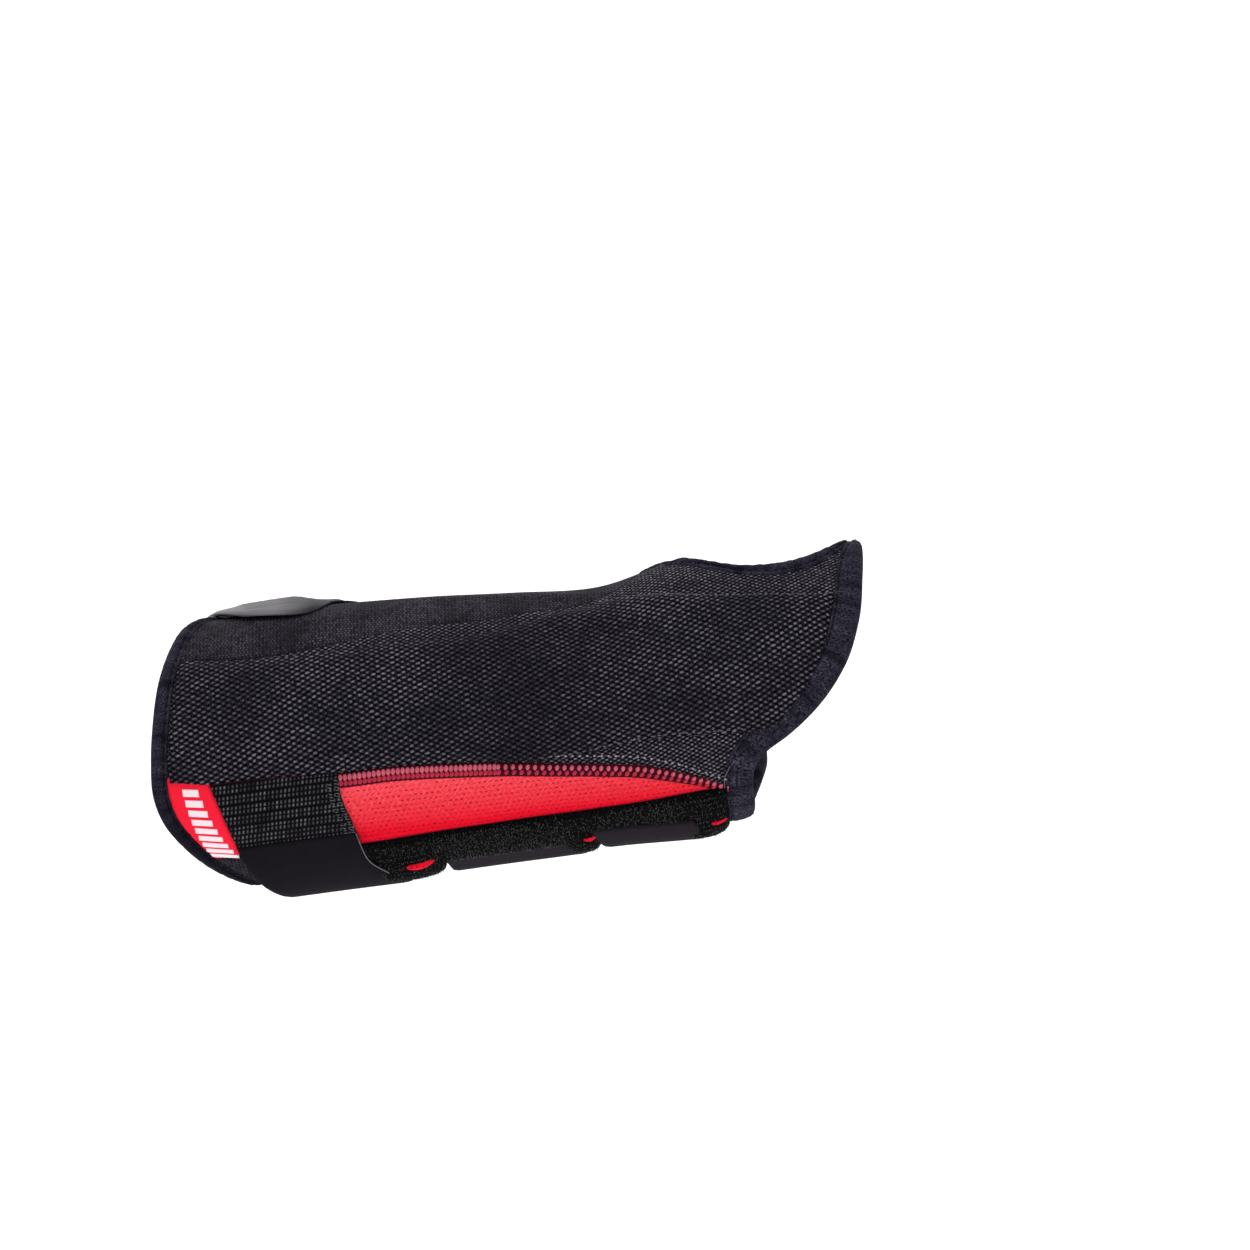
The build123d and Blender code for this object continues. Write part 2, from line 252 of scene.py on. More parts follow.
def outward(piece):
    """Makes every face of a closed mesh point out."""
    bm = bmesh.new()
    bm.from_mesh(piece.data)
    bmesh.ops.recalc_face_normals(bm, faces=bm.faces)
    bm.to_mesh(piece.data)
    bm.free()
    return piece


def cloth(name, x, angle, low, high, look, worn=1.0, keep=None):
    """A closed sheet of cloth over a grid of x and angle, between two heights.

    keep is a true or false value for each grid point: faces with a false corner are left out.
    """
    x, angle, low, high = arrays(x, angle, low, high)
    rows, cols = x.shape
    top, bottom = place(x, angle, high, worn).reshape(-1, 3), place(x, angle, low, worn).reshape(-1, 3)
    uv = np.stack((x, girth(angle)), -1).reshape(-1, 2)
    kept = np.ones((rows, cols), bool) if keep is None else keep
    ids = np.arange(rows * cols).reshape(rows, cols)
    quad = kept[:-1, :-1] & kept[1:, :-1] & kept[1:, 1:] & kept[:-1, 1:]
    a, b, c, d = (ids[:-1, :-1][quad], ids[1:, :-1][quad], ids[1:, 1:][quad], ids[:-1, 1:][quad])
    upper = np.stack((a, b, c, d), -1)
    count = rows * cols
    edges = {}
    for face in upper:
        for k in range(4):
            p, q = int(face[k]), int(face[(k + 1) % 4])
            if (q, p) in edges:
                del edges[(q, p)]
            else:
                edges[(p, q)] = True
    rim = np.array([(p, q, q + count, p + count) for p, q in edges], int).reshape(-1, 4)
    faces = np.concatenate((upper, upper[:, ::-1] + count, rim[:, ::-1]))
    points, uvs = np.concatenate((top, bottom)), np.concatenate((uv, uv))
    used = np.unique(faces)
    renumber = np.full(len(points), -1)
    renumber[used] = np.arange(len(used))
    return outward(new_piece(name, points[used], renumber[faces], LOOKS[look], uvs[used]))


def grid(x0, x1, a0, a1, pitch=1.1):
    """Evenly spaced x and angle arrays between two edges, each a number or a curve."""
    def read(edge, at):
        return edge(at) if callable(edge) else np.full_like(at, float(edge))

    mid = 0.5 * (read(a0, np.array([90.0]))[0] + read(a1, np.array([90.0]))[0])
    start, stop = (float(read(e, np.array([mid]))[0]) for e in (x0, x1))
    rows = max(6, int(abs(stop - start) / pitch))
    span = abs(float((read(a1, np.array([90.0])) - read(a0, np.array([90.0])))[0]))
    cols = max(6, int(span * SLEEVE_DEGREE / pitch))
    u = np.linspace(0, 1, rows)[:, None] * np.ones((1, cols))
    v = np.linspace(0, 1, cols)[None, :] * np.ones((rows, 1))
    x = start + (stop - start) * u
    for _ in range(12):
        low, high = read(a0, x), read(a1, x)
        angle = low + (high - low) * v
        begin, end = read(x0, angle), read(x1, angle)
        x = 0.5 * x + 0.5 * (begin + (end - begin) * u)
    return x, angle, u, v


def sweep(name, x, angle, inward_x, inward_a, section, look, closed=False, worn=1.0, wobble=0.0):
    """A closed band swept along an edge. section holds (distance in from the edge, height) pairs.

    inward_x and inward_a step one millimetre in from the edge, in mm of x and degrees.
    section may be one list, or one per station.
    """
    section = np.asarray(section, float)
    stations, sides = len(x), section.shape[-2]
    if section.ndim == 2:
        section = np.broadcast_to(section, (stations, sides, 2))
    d, h = section[..., 0], section[..., 1]
    xs = x[:, None] + d * inward_x[:, None]
    angles = np.clip(angle[:, None] + d * inward_a[:, None], -GAP_EDGE - 1.5, GAP_EDGE + 1.5)
    along = distances(place(x, angle, 2.0)) / MM
    ripple = wobble * np.sin(along * 1.9)[:, None] * np.sin(along * 0.31 + 1)[:, None]
    points = place(xs, angles, h + ripple * (h > 2), worn).reshape(-1, 3)
    around = np.concatenate(([0], np.cumsum(np.hypot(*np.diff(section[0], axis=0).T))))
    uv = np.stack(np.broadcast_arrays(along[:, None], around[None, :]), -1).reshape(-1, 2)
    ids = np.arange(stations * sides).reshape(stations, sides)
    nxt = np.roll(ids, -1, axis=0) if closed else ids[1:]
    cur = ids if closed else ids[:-1]
    faces = np.stack((cur, np.roll(cur, -1, axis=1), np.roll(nxt, -1, axis=1), nxt), -1).reshape(-1, 4)
    faces = [list(f) for f in faces]
    if not closed:
        faces += [list(ids[0][::-1]), list(ids[-1])]
    return outward(new_piece(name, points, faces, LOOKS[look], uv))


def edge_steps(x, angle, toward_x, toward_a):
    """For an edge given as x and angle arrays, the step of one mm square to it on the cloth.

    toward_x and toward_a are a point on the side that the step goes to.
    """
    p = place(x, angle, 2.0)
    tangent = np.gradient(p, axis=0)
    px = (place(x + 0.5, angle, 2.0) - place(x - 0.5, angle, 2.0)) / MM
    pa = (place(x, angle + 0.5, 2.0) - place(x, angle - 0.5, 2.0)) / MM
    normal = np.cross(px, pa)
    side = unit_rows(np.cross(normal, tangent))
    goal = place(toward_x, toward_a, 2.0) - p
    side *= np.sign(np.sum(side * goal, axis=1))[:, None]
    return np.sum(side * px, 1) / np.sum(px * px, 1), np.sum(side * pa, 1) / np.sum(pa * pa, 1)


def resample(x, angle, pitch, height=3.0):
    """The same line with points every pitch mm, as x, angle and height."""
    x, angle, height = arrays(x, angle, height)
    p = place(x, angle, height) / MM
    along = distances(p)
    at = np.linspace(0, along[-1], max(2, int(round(along[-1] / pitch)) + 1))
    return [np.interp(at, along, v) for v in (x, angle, height)]


def stitches(name, centres, directions, normals, size, look):
    """Many small threads in one mesh. size is (half length, half width, half height) in mm."""
    rings, sides = 5, 6
    t = np.linspace(-1, 1, rings)
    r = np.sqrt(np.clip(1 - (t * 0.93) ** 2, 0, 1))
    a = np.linspace(0, 2 * math.pi, sides, endpoint=False)
    ball = np.broadcast_arrays(t[:, None], r[:, None] * np.cos(a), r[:, None] * np.sin(a))
    unit = np.stack(ball, -1).reshape(-1, 3)
    ids = np.arange(rings * sides).reshape(rings, sides)
    beside = np.roll(ids, -1, 1)
    quads = np.stack((ids[:-1], beside[:-1], beside[1:], ids[1:]), -1).reshape(-1, 4)
    caps = [list(ids[0][::-1]), list(ids[-1])]
    centres, directions, normals = (np.asarray(v, float) for v in (centres, directions, normals))
    directions = unit_rows(directions)
    normals = unit_rows(normals - directions * np.sum(normals * directions, 1)[:, None])
    across = np.cross(normals, directions)
    l, w, h = (v * MM for v in size)
    points = (
        centres[:, None, :] + unit[None, :, 0:1] * l * directions[:, None, :]
        + unit[None, :, 1:2] * w * across[:, None, :] + unit[None, :, 2:3] * h * normals[:, None, :]
    ).reshape(-1, 3)
    n = rings * sides
    offsets = np.arange(len(centres)) * n
    faces = [f for o in offsets for f in ([*(quads + o)] + [[i + o for i in c] for c in caps])]
    uv = np.repeat(np.arange(len(centres))[:, None] * np.array([[0.37, 0.61]]), n, axis=0)
    return new_piece(name, points, faces, LOOKS[look], uv)


def stitch_row(x, angle, height, pitch, turn=0.0, worn=1.0):
    """Centres, directions and normals of stitches along a line. turn 90 lays them across it."""
    x, angle, height = resample(x, angle, pitch, height)
    p = place(x, angle, height, worn)
    out = place(x, angle, height + 1, worn) - p
    tangent = np.gradient(p, axis=0)
    if turn:
        across = unit_rows(np.cross(out, tangent))
        c, s = cos_sin(turn)
        tangent = unit_rows(tangent) * c + across * s
    return p, tangent, out


def join_rows(rows):
    return [np.concatenate([row[k] for row in rows]) for k in range(3)]


# ---------------------------------------------------------------- materials
def scale(colour, factor):
    """A darker or lighter colour, no channel above 1."""
    return tuple(min(1, factor * c) for c in colour)


class Look:
    """One procedural material. Its patterns read the cloth's own (along, round) place in mm."""

    def __init__(self, name, roughness=0.8, **constants):
        self.material = bpy.data.materials.new(name)
        self.material.use_nodes = True
        self.tree = self.material.node_tree
        self.shader = self.tree.nodes["Principled BSDF"]
        self.shader.inputs["Roughness"].default_value = roughness
        self.shader.inputs["Specular IOR Level"].default_value = 0.03
        for socket, value in constants.items():
            self.shader.inputs[socket.replace("_", " ")].default_value = value
        self.place = self.node("ShaderNodeUVMap", uv_map="cloth").outputs["UV"]
        split = self.node("ShaderNodeSeparateXYZ")
        self.tree.links.new(self.place, split.inputs[0])
        self.u, self.v = split.outputs[0], split.outputs[1]

    def node(self, kind, **settings):
        made = self.tree.nodes.new(kind)
        for key, value in settings.items():
            setattr(made, key, value)
        return made

    def join(self, value, socket):
        if isinstance(value, bpy.types.NodeSocket):
            self.tree.links.new(value, socket)
        else:
            socket.default_value = value

    def math(self, operation, *values, clamp=False):
        made = self.node("ShaderNodeMath", operation=operation, use_clamp=clamp)
        for value, socket in zip(values, made.inputs):
            self.join(value, socket)
        return made.outputs[0]

    def times(self, a, b, clamp=False):
        return self.math("MULTIPLY", a, b, clamp=clamp)

    def plus(self, a, b):
        return self.math("ADD", a, b)

    def minus(self, a, b):
        return self.math("SUBTRACT", a, b)

    def scaled(self, value, factor, offset):
        """The value times the factor, plus the offset."""
        return self.math("MULTIPLY_ADD", value, factor, offset)

    def noise(self, scale, detail=2.0, stretch=(1, 1, 1), vector=None):
        scaled = self.node("ShaderNodeVectorMath", operation="MULTIPLY")
        self.join(vector or self.place, scaled.inputs[0])
        scaled.inputs[1].default_value = stretch
        made = self.node("ShaderNodeTexNoise")
        made.inputs["Scale"].default_value = scale
        made.inputs["Detail"].default_value = detail
        self.join(scaled.outputs[0], made.inputs["Vector"])
        return made.outputs["Fac"]

    def mix(self, share, low, high):
        made = self.node("ShaderNodeMix", data_type="RGBA")
        self.join(share, made.inputs[0])
        for colour, socket in ((low, made.inputs[6]), (high, made.inputs[7])):
            self.join((*colour, 1) if isinstance(colour, tuple) else colour, socket)
        return made.outputs[2]

    def cells(self, along, round_, stagger=0.5):
        """Staggered cells of cloth: the place from each cell's middle in mm, and a random number for it."""
        row = self.math("DIVIDE", self.v, round_)
        row_index = self.math("FLOOR", row)
        shift = self.times(self.math("FLOORED_MODULO", row_index, 2.0), stagger)
        column = self.plus(self.math("DIVIDE", self.u, along), shift)
        du = self.times(self.minus(self.math("FRACT", column), 0.5), along)
        dv = self.times(self.minus(self.math("FRACT", row), 0.5), round_)
        cell = self.node("ShaderNodeCombineXYZ")
        self.join(self.math("FLOOR", column), cell.inputs[0])
        self.join(row_index, cell.inputs[1])
        random = self.node("ShaderNodeTexWhiteNoise", noise_dimensions="2D")
        self.join(cell.outputs[0], random.inputs["Vector"])
        return du, dv, random.outputs["Value"]

    def radius(self, du, dv, half_along, half_round):
        """Distance from a cell's middle, 1 on an oval with those half sizes."""
        du, dv = self.math("DIVIDE", du, half_along), self.math("DIVIDE", dv, half_round)
        return self.math("SQRT", self.plus(self.times(du, du), self.times(dv, dv)))

    def dots(self, along, round_, half_along, half_round, stagger=0.5, soft=4.0):
        """A mask of staggered oval dots, and a random number that is constant over each."""
        du, dv, random = self.cells(along, round_, stagger)
        far = self.radius(du, dv, half_along, half_round)
        return self.times(self.minus(1.1, far), soft, clamp=True), random

    def bump(self, value, centre, width):
        """1 at the centre, falling to 0 over the width on each side."""
        off = self.math("DIVIDE", self.minus(value, centre), width)
        return self.math("EXPONENT", self.times(self.times(off, off), -1.0))

    def fade(self, value, start, stop, first=0.0, last=1.0):
        """A straight change from first to last between start and stop."""
        made = self.node("ShaderNodeMapRange")
        self.join(value, made.inputs["Value"])
        numbers = {"From Min": start, "From Max": stop, "To Min": first, "To Max": last}
        for socket, number in numbers.items():
            made.inputs[socket].default_value = number
        return made.outputs["Result"]

    def ribs(self, along=None, round_=None):
        """0 to 1 ridges that repeat along or round the arm."""
        value, period = (self.u, along) if along else (self.v, round_)
        wave = self.math("SINE", self.times(value, 2 * math.pi / period))
        return self.scaled(wave, 0.5, 0.5)

    def finish(self, colour, height=None, depth=0.0002, strength=0.8, roughness=None):
        self.join((*colour, 1) if isinstance(colour, tuple) else colour, self.shader.inputs["Base Color"])
        if height is not None:
            relief_ = self.node("ShaderNodeBump")
            relief_.inputs["Strength"].default_value = strength
            relief_.inputs["Distance"].default_value = depth
            self.join(height, relief_.inputs["Height"])
            self.tree.links.new(relief_.outputs[0], self.shader.inputs["Normal"])
        if roughness is not None:
            self.join(roughness, self.shader.inputs["Roughness"])
        return self.material


def woven(name, along, round_, ground, light, patchy=1.0):
    """An open weave: slanted knots with black holes between them. The knots' pale colour is a painted
    highlight for glints on the yarn, painted brighter in some patches and dimmer in a band round 106 mm
    along, as painted light and shade.
    """
    look = Look(name, roughness=0.8)
    du, dv, random = look.cells(along, round_)
    uneven = look.minus(look.noise(0.9, 1.0), 0.5)
    du = look.scaled(uneven, 0.45 * along, du)
    leaning = look.scaled(du, 0.13, look.scaled(uneven, -0.35, dv))
    knot = look.fade(look.radius(du, leaning, 0.175 * along, 0.43 * round_), 0.6, 1.3, 1.0, 0.0)
    aside = look.minus(look.math("ABSOLUTE", du), 0.5 * along)
    hole = look.fade(look.radius(aside, dv, 0.17 * along, 0.5 * round_), 0.6, 1.3, 1.0, 0.0)
    # Painted shade, not wear: the knots' painted highlights are dimmed in a band round 106 mm along the
    # arm.
    worn = look.minus(1.0, look.times(look.bump(look.u, 106, 18), 0.6 * patchy))
    # Painted light: soft large patches where the knots' painted highlights are brighter.
    patch = look.fade(look.noise(0.05, 3.0, (1, 1.6, 1)), 0.36, 0.60, 1 - 0.6 * patchy, 1.0)
    lit = look.times(knot, look.scaled(random, 0.85, 0.36))
    lit = look.times(lit, look.times(worn, patch), clamp=True)
    fibre = look.noise(2.2, 2.0, (1, 0.6, 1))
    thread_ = look.mix(look.fade(fibre, 0.4, 0.65), scale(ground, 0.4), scale(ground, 2.2))
    height = look.minus(knot, look.times(hole, 0.7))
    colour = look.mix(lit, look.mix(hole, thread_, (0.0008, 0.0007, 0.001)), light)
    return look.finish(colour, height, depth=0.00025)


def knit():
    """Fine rib knit with beaded ribs across the arm."""
    look = Look("rib_knit", roughness=0.85, Sheen_Weight=0.02, Sheen_Roughness=0.5)
    ribs = look.ribs(along=0.95)
    loops, random = look.dots(0.95, 0.8, 0.34, 0.3)
    lit = look.times(look.plus(look.times(ribs, 0.3), look.times(loops, random)),
                    look.fade(look.noise(0.07, 3.0), 0.3, 0.62, 0.25, 1.0), clamp=True)
    height = look.plus(ribs, look.times(loops, 0.5))
    colour = look.mix(lit, (0.0042, 0.0033, 0.0052), (0.066, 0.055, 0.078))
    return look.finish(colour, height, depth=0.00022)


def red_mesh():
    """Red spacer mesh: slanted bright threads round small dimples. Painted light and shade: paler near the
    top seam, as if lit, and deeper red further round towards the back, on the lower side.
    """
    look = Look("red_spacer_mesh", roughness=0.7, Sheen_Weight=0.03, Sheen_Roughness=0.4)
    dimple, random = look.dots(1.5, 1.25, 0.42, 0.26, soft=2.0)
    slant = look.node("ShaderNodeVectorRotate", rotation_type="Z_AXIS")
    look.join(look.place, slant.inputs["Vector"])
    slant.inputs["Angle"].default_value = math.radians(38)
    thread_ = look.noise(1.5, 2.0, (0.5, 2.0, 1), slant.outputs[0])
    # Painted shade: 0 near the top seam, where the red is painted paler as if lit, to 1 further round,
    # where it is painted deeper red as if in shade.
    painted_shade_share = look.fade(look.v, girth(30), girth(54))
    ground = look.mix(painted_shade_share, (0.78, 0.048, 0.066), (0.60, 0.0015, 0.014))
    bright = look.fade(thread_, 0.46, 0.66, 0.0, 0.6)
    ground = look.mix(bright, ground, look.mix(painted_shade_share, (0.96, 0.14, 0.17), (0.78, 0.008, 0.026)))
    shade = look.times(dimple, look.scaled(random, 0.75, 0.0))
    height = look.minus(look.times(thread_, 0.6), dimple)
    return look.finish(look.mix(shade, ground, (0.22, 0.002, 0.010)), height, depth=0.00025)


def loop_pile():
    """Brushed loop cloth: near black, with sparse fine specks where single loops catch light."""
    look = Look("loop_pile", roughness=0.95)
    fuzz = look.noise(0.5, 4.0, (1, 1.6, 1))
    fibre = look.noise(2.6, 3.0, (0.8, 1.6, 1))
    lit = look.times(look.fade(fibre, 0.60, 0.72), look.fade(fuzz, 0.42, 0.62, 0.1, 1.0))
    height = look.plus(fuzz, look.times(fibre, 0.6))
    return look.finish(look.mix(lit, (0.0018, 0.0018, 0.0021), (0.12, 0.13, 0.125)), height, depth=0.0008)


def laminate():
    """The straps' smooth matte face."""
    look = Look("strap_laminate", roughness=0.8)
    grain = look.noise(3.2, 3.0)
    forearm = look.mix(look.noise(0.05, 2.0), (0.0050, 0.0038, 0.0062), (0.0082, 0.0065, 0.0098))
    colour = look.mix(look.fade(look.u, 68, 84), forearm, (0.0128, 0.0104, 0.0140))
    return look.finish(colour, grain, depth=0.00006)


def tape(name, lower_side_light):
    """Folded stretch tape, navy black, brushed. Painted shade: the second argument sets how far its lit
    fibres are dimmed towards the little-finger side, which faces down, away from the light.
    """
    sheen = dict(Sheen_Weight=0.04, Sheen_Roughness=0.35, Sheen_Tint=(0.6, 0.62, 0.85, 1))
    look = Look(name, roughness=0.85, **sheen)
    fuzz = look.noise(2.8, 4.0)
    ribs = look.ribs(along=0.8)
    pucker = look.noise(0.35, 3.0, (1, 0.3, 1))
    lit = look.times(look.fade(fuzz, 0.40, 0.66), look.fade(pucker, 0.36, 0.62, 0.15, 1.0))
    # Painted shade: the lit fibres fade along the tape towards the little-finger side, which faces down,
    # away from the light.
    lit = look.times(lit, look.fade(look.u, 100, 122, 1.0, lower_side_light))
    height = look.plus(look.times(ribs, 0.35), look.plus(fuzz, pucker))
    return look.finish(look.mix(lit, (0.0046, 0.0040, 0.0078), (0.062, 0.056, 0.086)), height, depth=0.0003)


def elastic():
    """Ribbed elastic on black: each rib shows two lines of short slanted light ticks."""
    look = Look("ribbed_elastic", roughness=0.8, Sheen_Weight=0.02)
    du, dv, random = look.cells(1.1, ELASTIC_ROW, 0.35)
    across = look.math("ABSOLUTE", look.scaled(dv, 0.22, du))
    off = look.math("ABSOLUTE", look.minus(look.math("ABSOLUTE", dv), 0.56))
    tick = look.times(look.fade(across, 0.12, 0.34, 1.0, 0.0), look.fade(off, 0.22, 0.46, 1.0, 0.0))
    lit = look.times(tick, look.scaled(random, 0.75, 0.3))
    lit = look.times(lit, look.fade(look.noise(0.3, 3.0), 0.35, 0.6, 0.35, 1.0), clamp=True)
    rib = look.fade(look.math("ABSOLUTE", dv), 0.9, 1.25, 1.0, 0.0)
    height = look.plus(look.times(rib, 0.6), look.times(tick, 0.5))
    return look.finish(look.mix(lit, (0.0018, 0.0015, 0.0026), (0.115, 0.115, 0.125)), height, depth=0.0003)


def lining():
    look = Look("soft_lining", roughness=0.9, Sheen_Weight=0.05)
    loops, random = look.dots(1.1, 0.9, 0.36, 0.3)
    fuzz = look.noise(3.0, 3.0)
    lit = look.times(loops, look.scaled(random, 0.4, 0.25))
    return look.finish(look.mix(lit, (0.012, 0.012, 0.014), (0.045, 0.045, 0.05)),
                       look.plus(loops, fuzz), depth=0.0002)


def thread(name, colour, roughness=0.6):
    look = Look(name, roughness=roughness, Sheen_Weight=0.02)
    twist = look.noise(9.0, 2.0)
    return look.finish(look.mix(twist, scale(colour, 0.6), scale(colour, 1.5)),
                       twist, depth=0.00004)


def satin(name, colour):
    """Printed satin: a smooth tape with a very fine grain."""
    look = Look(name, roughness=0.5)
    grain = look.noise(4.0, 3.0, (0.3, 2.0, 1))
    return look.finish(look.mix(grain, scale(colour, 0.88), scale(colour, 1.06)),
                       grain, depth=0.00005)


def rubber():
    """The pull tab's grey rubber, with painted light: paler at its forearm end as a painted highlight, and
    near black at its far end as painted shade.
    """
    look = Look("tab_rubber", roughness=0.6, Specular_IOR_Level=0.06)
    grain = look.noise(1.6, 4.0)
    # Painted highlight and shade: pale grey at the forearm end, mid grey in the middle, near black past 51
    # mm along.
    middle = look.mix(look.fade(look.u, 22, 34), (0.23, 0.225, 0.235), (0.125, 0.119, 0.128))
    base = look.mix(look.fade(look.u, 41, 51), middle, (0.014, 0.0125, 0.0155))
    colour = look.mix(look.times(grain, 0.15), base, (0.10, 0.10, 0.11))
    return look.finish(colour, grain, depth=0.00006, roughness=look.scaled(grain, 0.25, 0.5))


def plain_metal(name, colour, roughness):
    look = Look(name, roughness=roughness, Metallic=1.0, Specular_IOR_Level=0.5)
    brushed = look.node("ShaderNodeTexNoise")
    coordinates = look.node("ShaderNodeTexCoord")
    stretch = look.node("ShaderNodeVectorMath", operation="MULTIPLY")
    look.join(coordinates.outputs["Object"], stretch.inputs[0])
    stretch.inputs[1].default_value = (300, 3000, 3000)
    look.join(stretch.outputs[0], brushed.inputs["Vector"])
    brushed.inputs["Scale"].default_value = 1.0
    return look.finish(look.mix(brushed.outputs["Fac"], scale(colour, 0.8), colour),
                       brushed.outputs["Fac"], depth=0.00002)


def moulded(name, colour):
    look = Look(name, roughness=0.55, Specular_IOR_Level=0.4)
    grain = look.node("ShaderNodeTexNoise")
    grain.inputs["Scale"].default_value = 900
    return look.finish(look.mix(grain.outputs["Fac"], scale(colour, 0.7), colour),
                       grain.outputs["Fac"], depth=0.00004)


ELASTIC_ROW = 2.55
LOOKS = {
    "pocket": woven("pocket_weave", 2.68, 0.67, (0.0078, 0.0066, 0.0108), (0.140, 0.130, 0.158)),
    "fine_mesh": woven("fine_mesh", 2.1, 0.56, (0.011, 0.0093, 0.0137), (0.175, 0.16, 0.20), 0.4),
    "knit": knit(),
    "red": red_mesh(),
    "pile": loop_pile(),
    "strap": laminate(),
    "tape": tape("binding_tape", 1.0),
    # 0.2 paints shade: the forearm tape's lit fibres dim to a fifth on the little-finger side.
    "forearm_tape": tape("forearm_binding_tape", 0.2),
    "elastic": elastic(),
    "lining": lining(),
    "black_thread": thread("black_thread", (0.0035, 0.003, 0.0045)),
    "maroon_thread": thread("maroon_thread", (0.040, 0.0015, 0.006)),
    "pink_thread": thread("pink_thread", (0.46, 0.085, 0.125)),
    "rose_thread": thread("rose_thread", (0.36, 0.022, 0.045)),
    "pale_thread": thread("pale_thread", (0.26, 0.22, 0.27)),
    "grey_thread": thread("grey_thread", (0.085, 0.085, 0.09)),
    "edge_cord": thread("edge_cord", (0.10, 0.10, 0.12)),
    "label": satin("label_satin", (0.80, 0.012, 0.035)),
    "white": satin("white_print", (0.80, 0.66, 0.70)),
    "rubber": rubber(),
    "aluminium": plain_metal("stay_aluminium", (0.72, 0.73, 0.75), 0.4),
    "steel": plain_metal("stay_steel", (0.5, 0.5, 0.52), 0.3),
    "plastic": moulded("black_plastic", (0.03, 0.03, 0.032)),
}


# ---------------------------------------------------------------- sleeve
def dress(piece, slot, *nodes, body="sleeve", fill=None):
    """The piece rides on its body and stands for CAD nodes; slot is not used."""
    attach(piece, body)
    if nodes:
        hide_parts(*nodes)
    return piece


def sew(name, row, size, look):
    """A row of stitches on the sleeve. size is (half length, half width, half height) in mm."""
    return dress(stitches(name, *row, size, look), "thread")


def rim(curve, offset):
    return lambda angle: curve(angle) + offset


def sleeve_cloth():
    """The lining and the outer panels, with the thumb hole cut out under its tape."""
    front, back = rim(FOREARM_RIM, 1.2), rim(PALM_RIM, -1.2)
    panels = [
        ("lining", -GAP_EDGE, GAP_EDGE, *LINING, "lining", "liner_cloth", "inner_liner", 1.8),
        ("palm_mesh", PANEL_SEAM, ULNAR_SEAM, *PANEL, "fine_mesh", "black_mesh", "palmar_panel", 1.2),
        ("thumb_side_knit", -FLAP_SEAM, PANEL_SEAM, *PANEL, "knit", "black_knit", "radial_panel", 1.1),
        ("red_side_mesh", ULNAR_SEAM, FLAP_SEAM, *PANEL, "red", "red_mesh", "ulnar_panel", 1.1),
        ("back_ulnar_knit", FLAP_SEAM, GAP_EDGE, *PANEL, "knit", "black_knit", "dorsal_ulnar_flap", 1.4),
        ("back_radial_knit", -GAP_EDGE, -FLAP_SEAM, *PANEL, "knit", "black_knit",
         "dorsal_radial_flap", 1.4),
    ]
    for name, a0, a1, low, high, look, slot, node, pitch in panels:
        x, angle, _, _ = grid(front, back, a0, a1, pitch)
        keep = in_hole(x, angle, 1.2) > 1
        dress(cloth(name, x, angle, low, high, look, keep=keep), slot, node, fill=0.4)


def tape_section(width, bulge=1.0):
    """A folded padded tape: a rounded nose, a full back and a groove under the stitching."""
    return [
        (width, -0.5), (width * 0.6, -0.85), (1.2, -0.85), (0.35, -0.3), (0.0, 0.7), (0.0, 2.0),
        (0.45, 3.1), (1.4, 3.65 * bulge), (width * 0.42, 3.9 * bulge), (width * 0.68, 3.8 * bulge),
        (width - 1.5, 3.55), (width - 1.15, 3.2), (width - 0.8, 3.35), (width - 0.35, 3.5),
        (width, 3.1), (width, 1.0),
    ]


def rim_tape(name, curve, toward, widths, node, look="tape"):
    """The tape along the forearm or palm edge. widths gives its width at an angle."""
    angle = np.linspace(-GAP_EDGE - 1, GAP_EDGE + 1, 400)
    x, angle, _ = resample(curve(angle), angle, 1.2)
    dx, da = edge_steps(x, angle, x + toward, angle)
    section = np.array([tape_section(float(w)) for w in widths(angle)])
    piece = sweep(name, x, angle, dx, da, section, look, wobble=0.10)
    dress(piece, "binding_tape", node, fill=0.7)
    seam = widths(angle) - 1.0
    inside = np.abs(angle + da * seam) < GAP_EDGE
    row = stitch_row((x + dx * seam)[inside], (angle + da * seam)[inside], 3.42, 2.4)
    sew(name + "_stitching", row, (0.85, 0.17, 0.14), "black_thread")


def palm_width(angle):
    """The palm tape narrows where it meets the thumb hole's tape and at the gap on the back."""
    return 7.8 - 4.5 * bump(angle, -90, 30) - 3.2 * step(128, 150, np.abs(angle))


def tapes():
    rim_tape("forearm_tape", FOREARM_RIM, 6, lambda a: 4.6 + 0 * a, "forearm_binding", "forearm_tape")
    rim_tape("palm_tape", PALM_RIM, -6, palm_width, "palm_binding")
    for name, edge, node in (
        ("back_ulnar_tape", GAP_EDGE, "ulnar_edge_binding"),
        ("back_radial_tape", -GAP_EDGE, "radial_edge_binding"),
    ):
        start, stop = float(FOREARM_RIM(edge)) + 2, float(PALM_RIM(edge)) - 2
        x = np.linspace(start, stop, int((stop - start) / 1.3))
        angle = np.full_like(x, edge + math.copysign(1.5, edge))
        dx, da = edge_steps(x, angle, x, angle - math.copysign(8, edge))
        piece = sweep(name, x, angle, dx, da, tape_section(4.0), "tape", wobble=0.1)
        dress(piece, "binding_tape", node, fill=0.7)


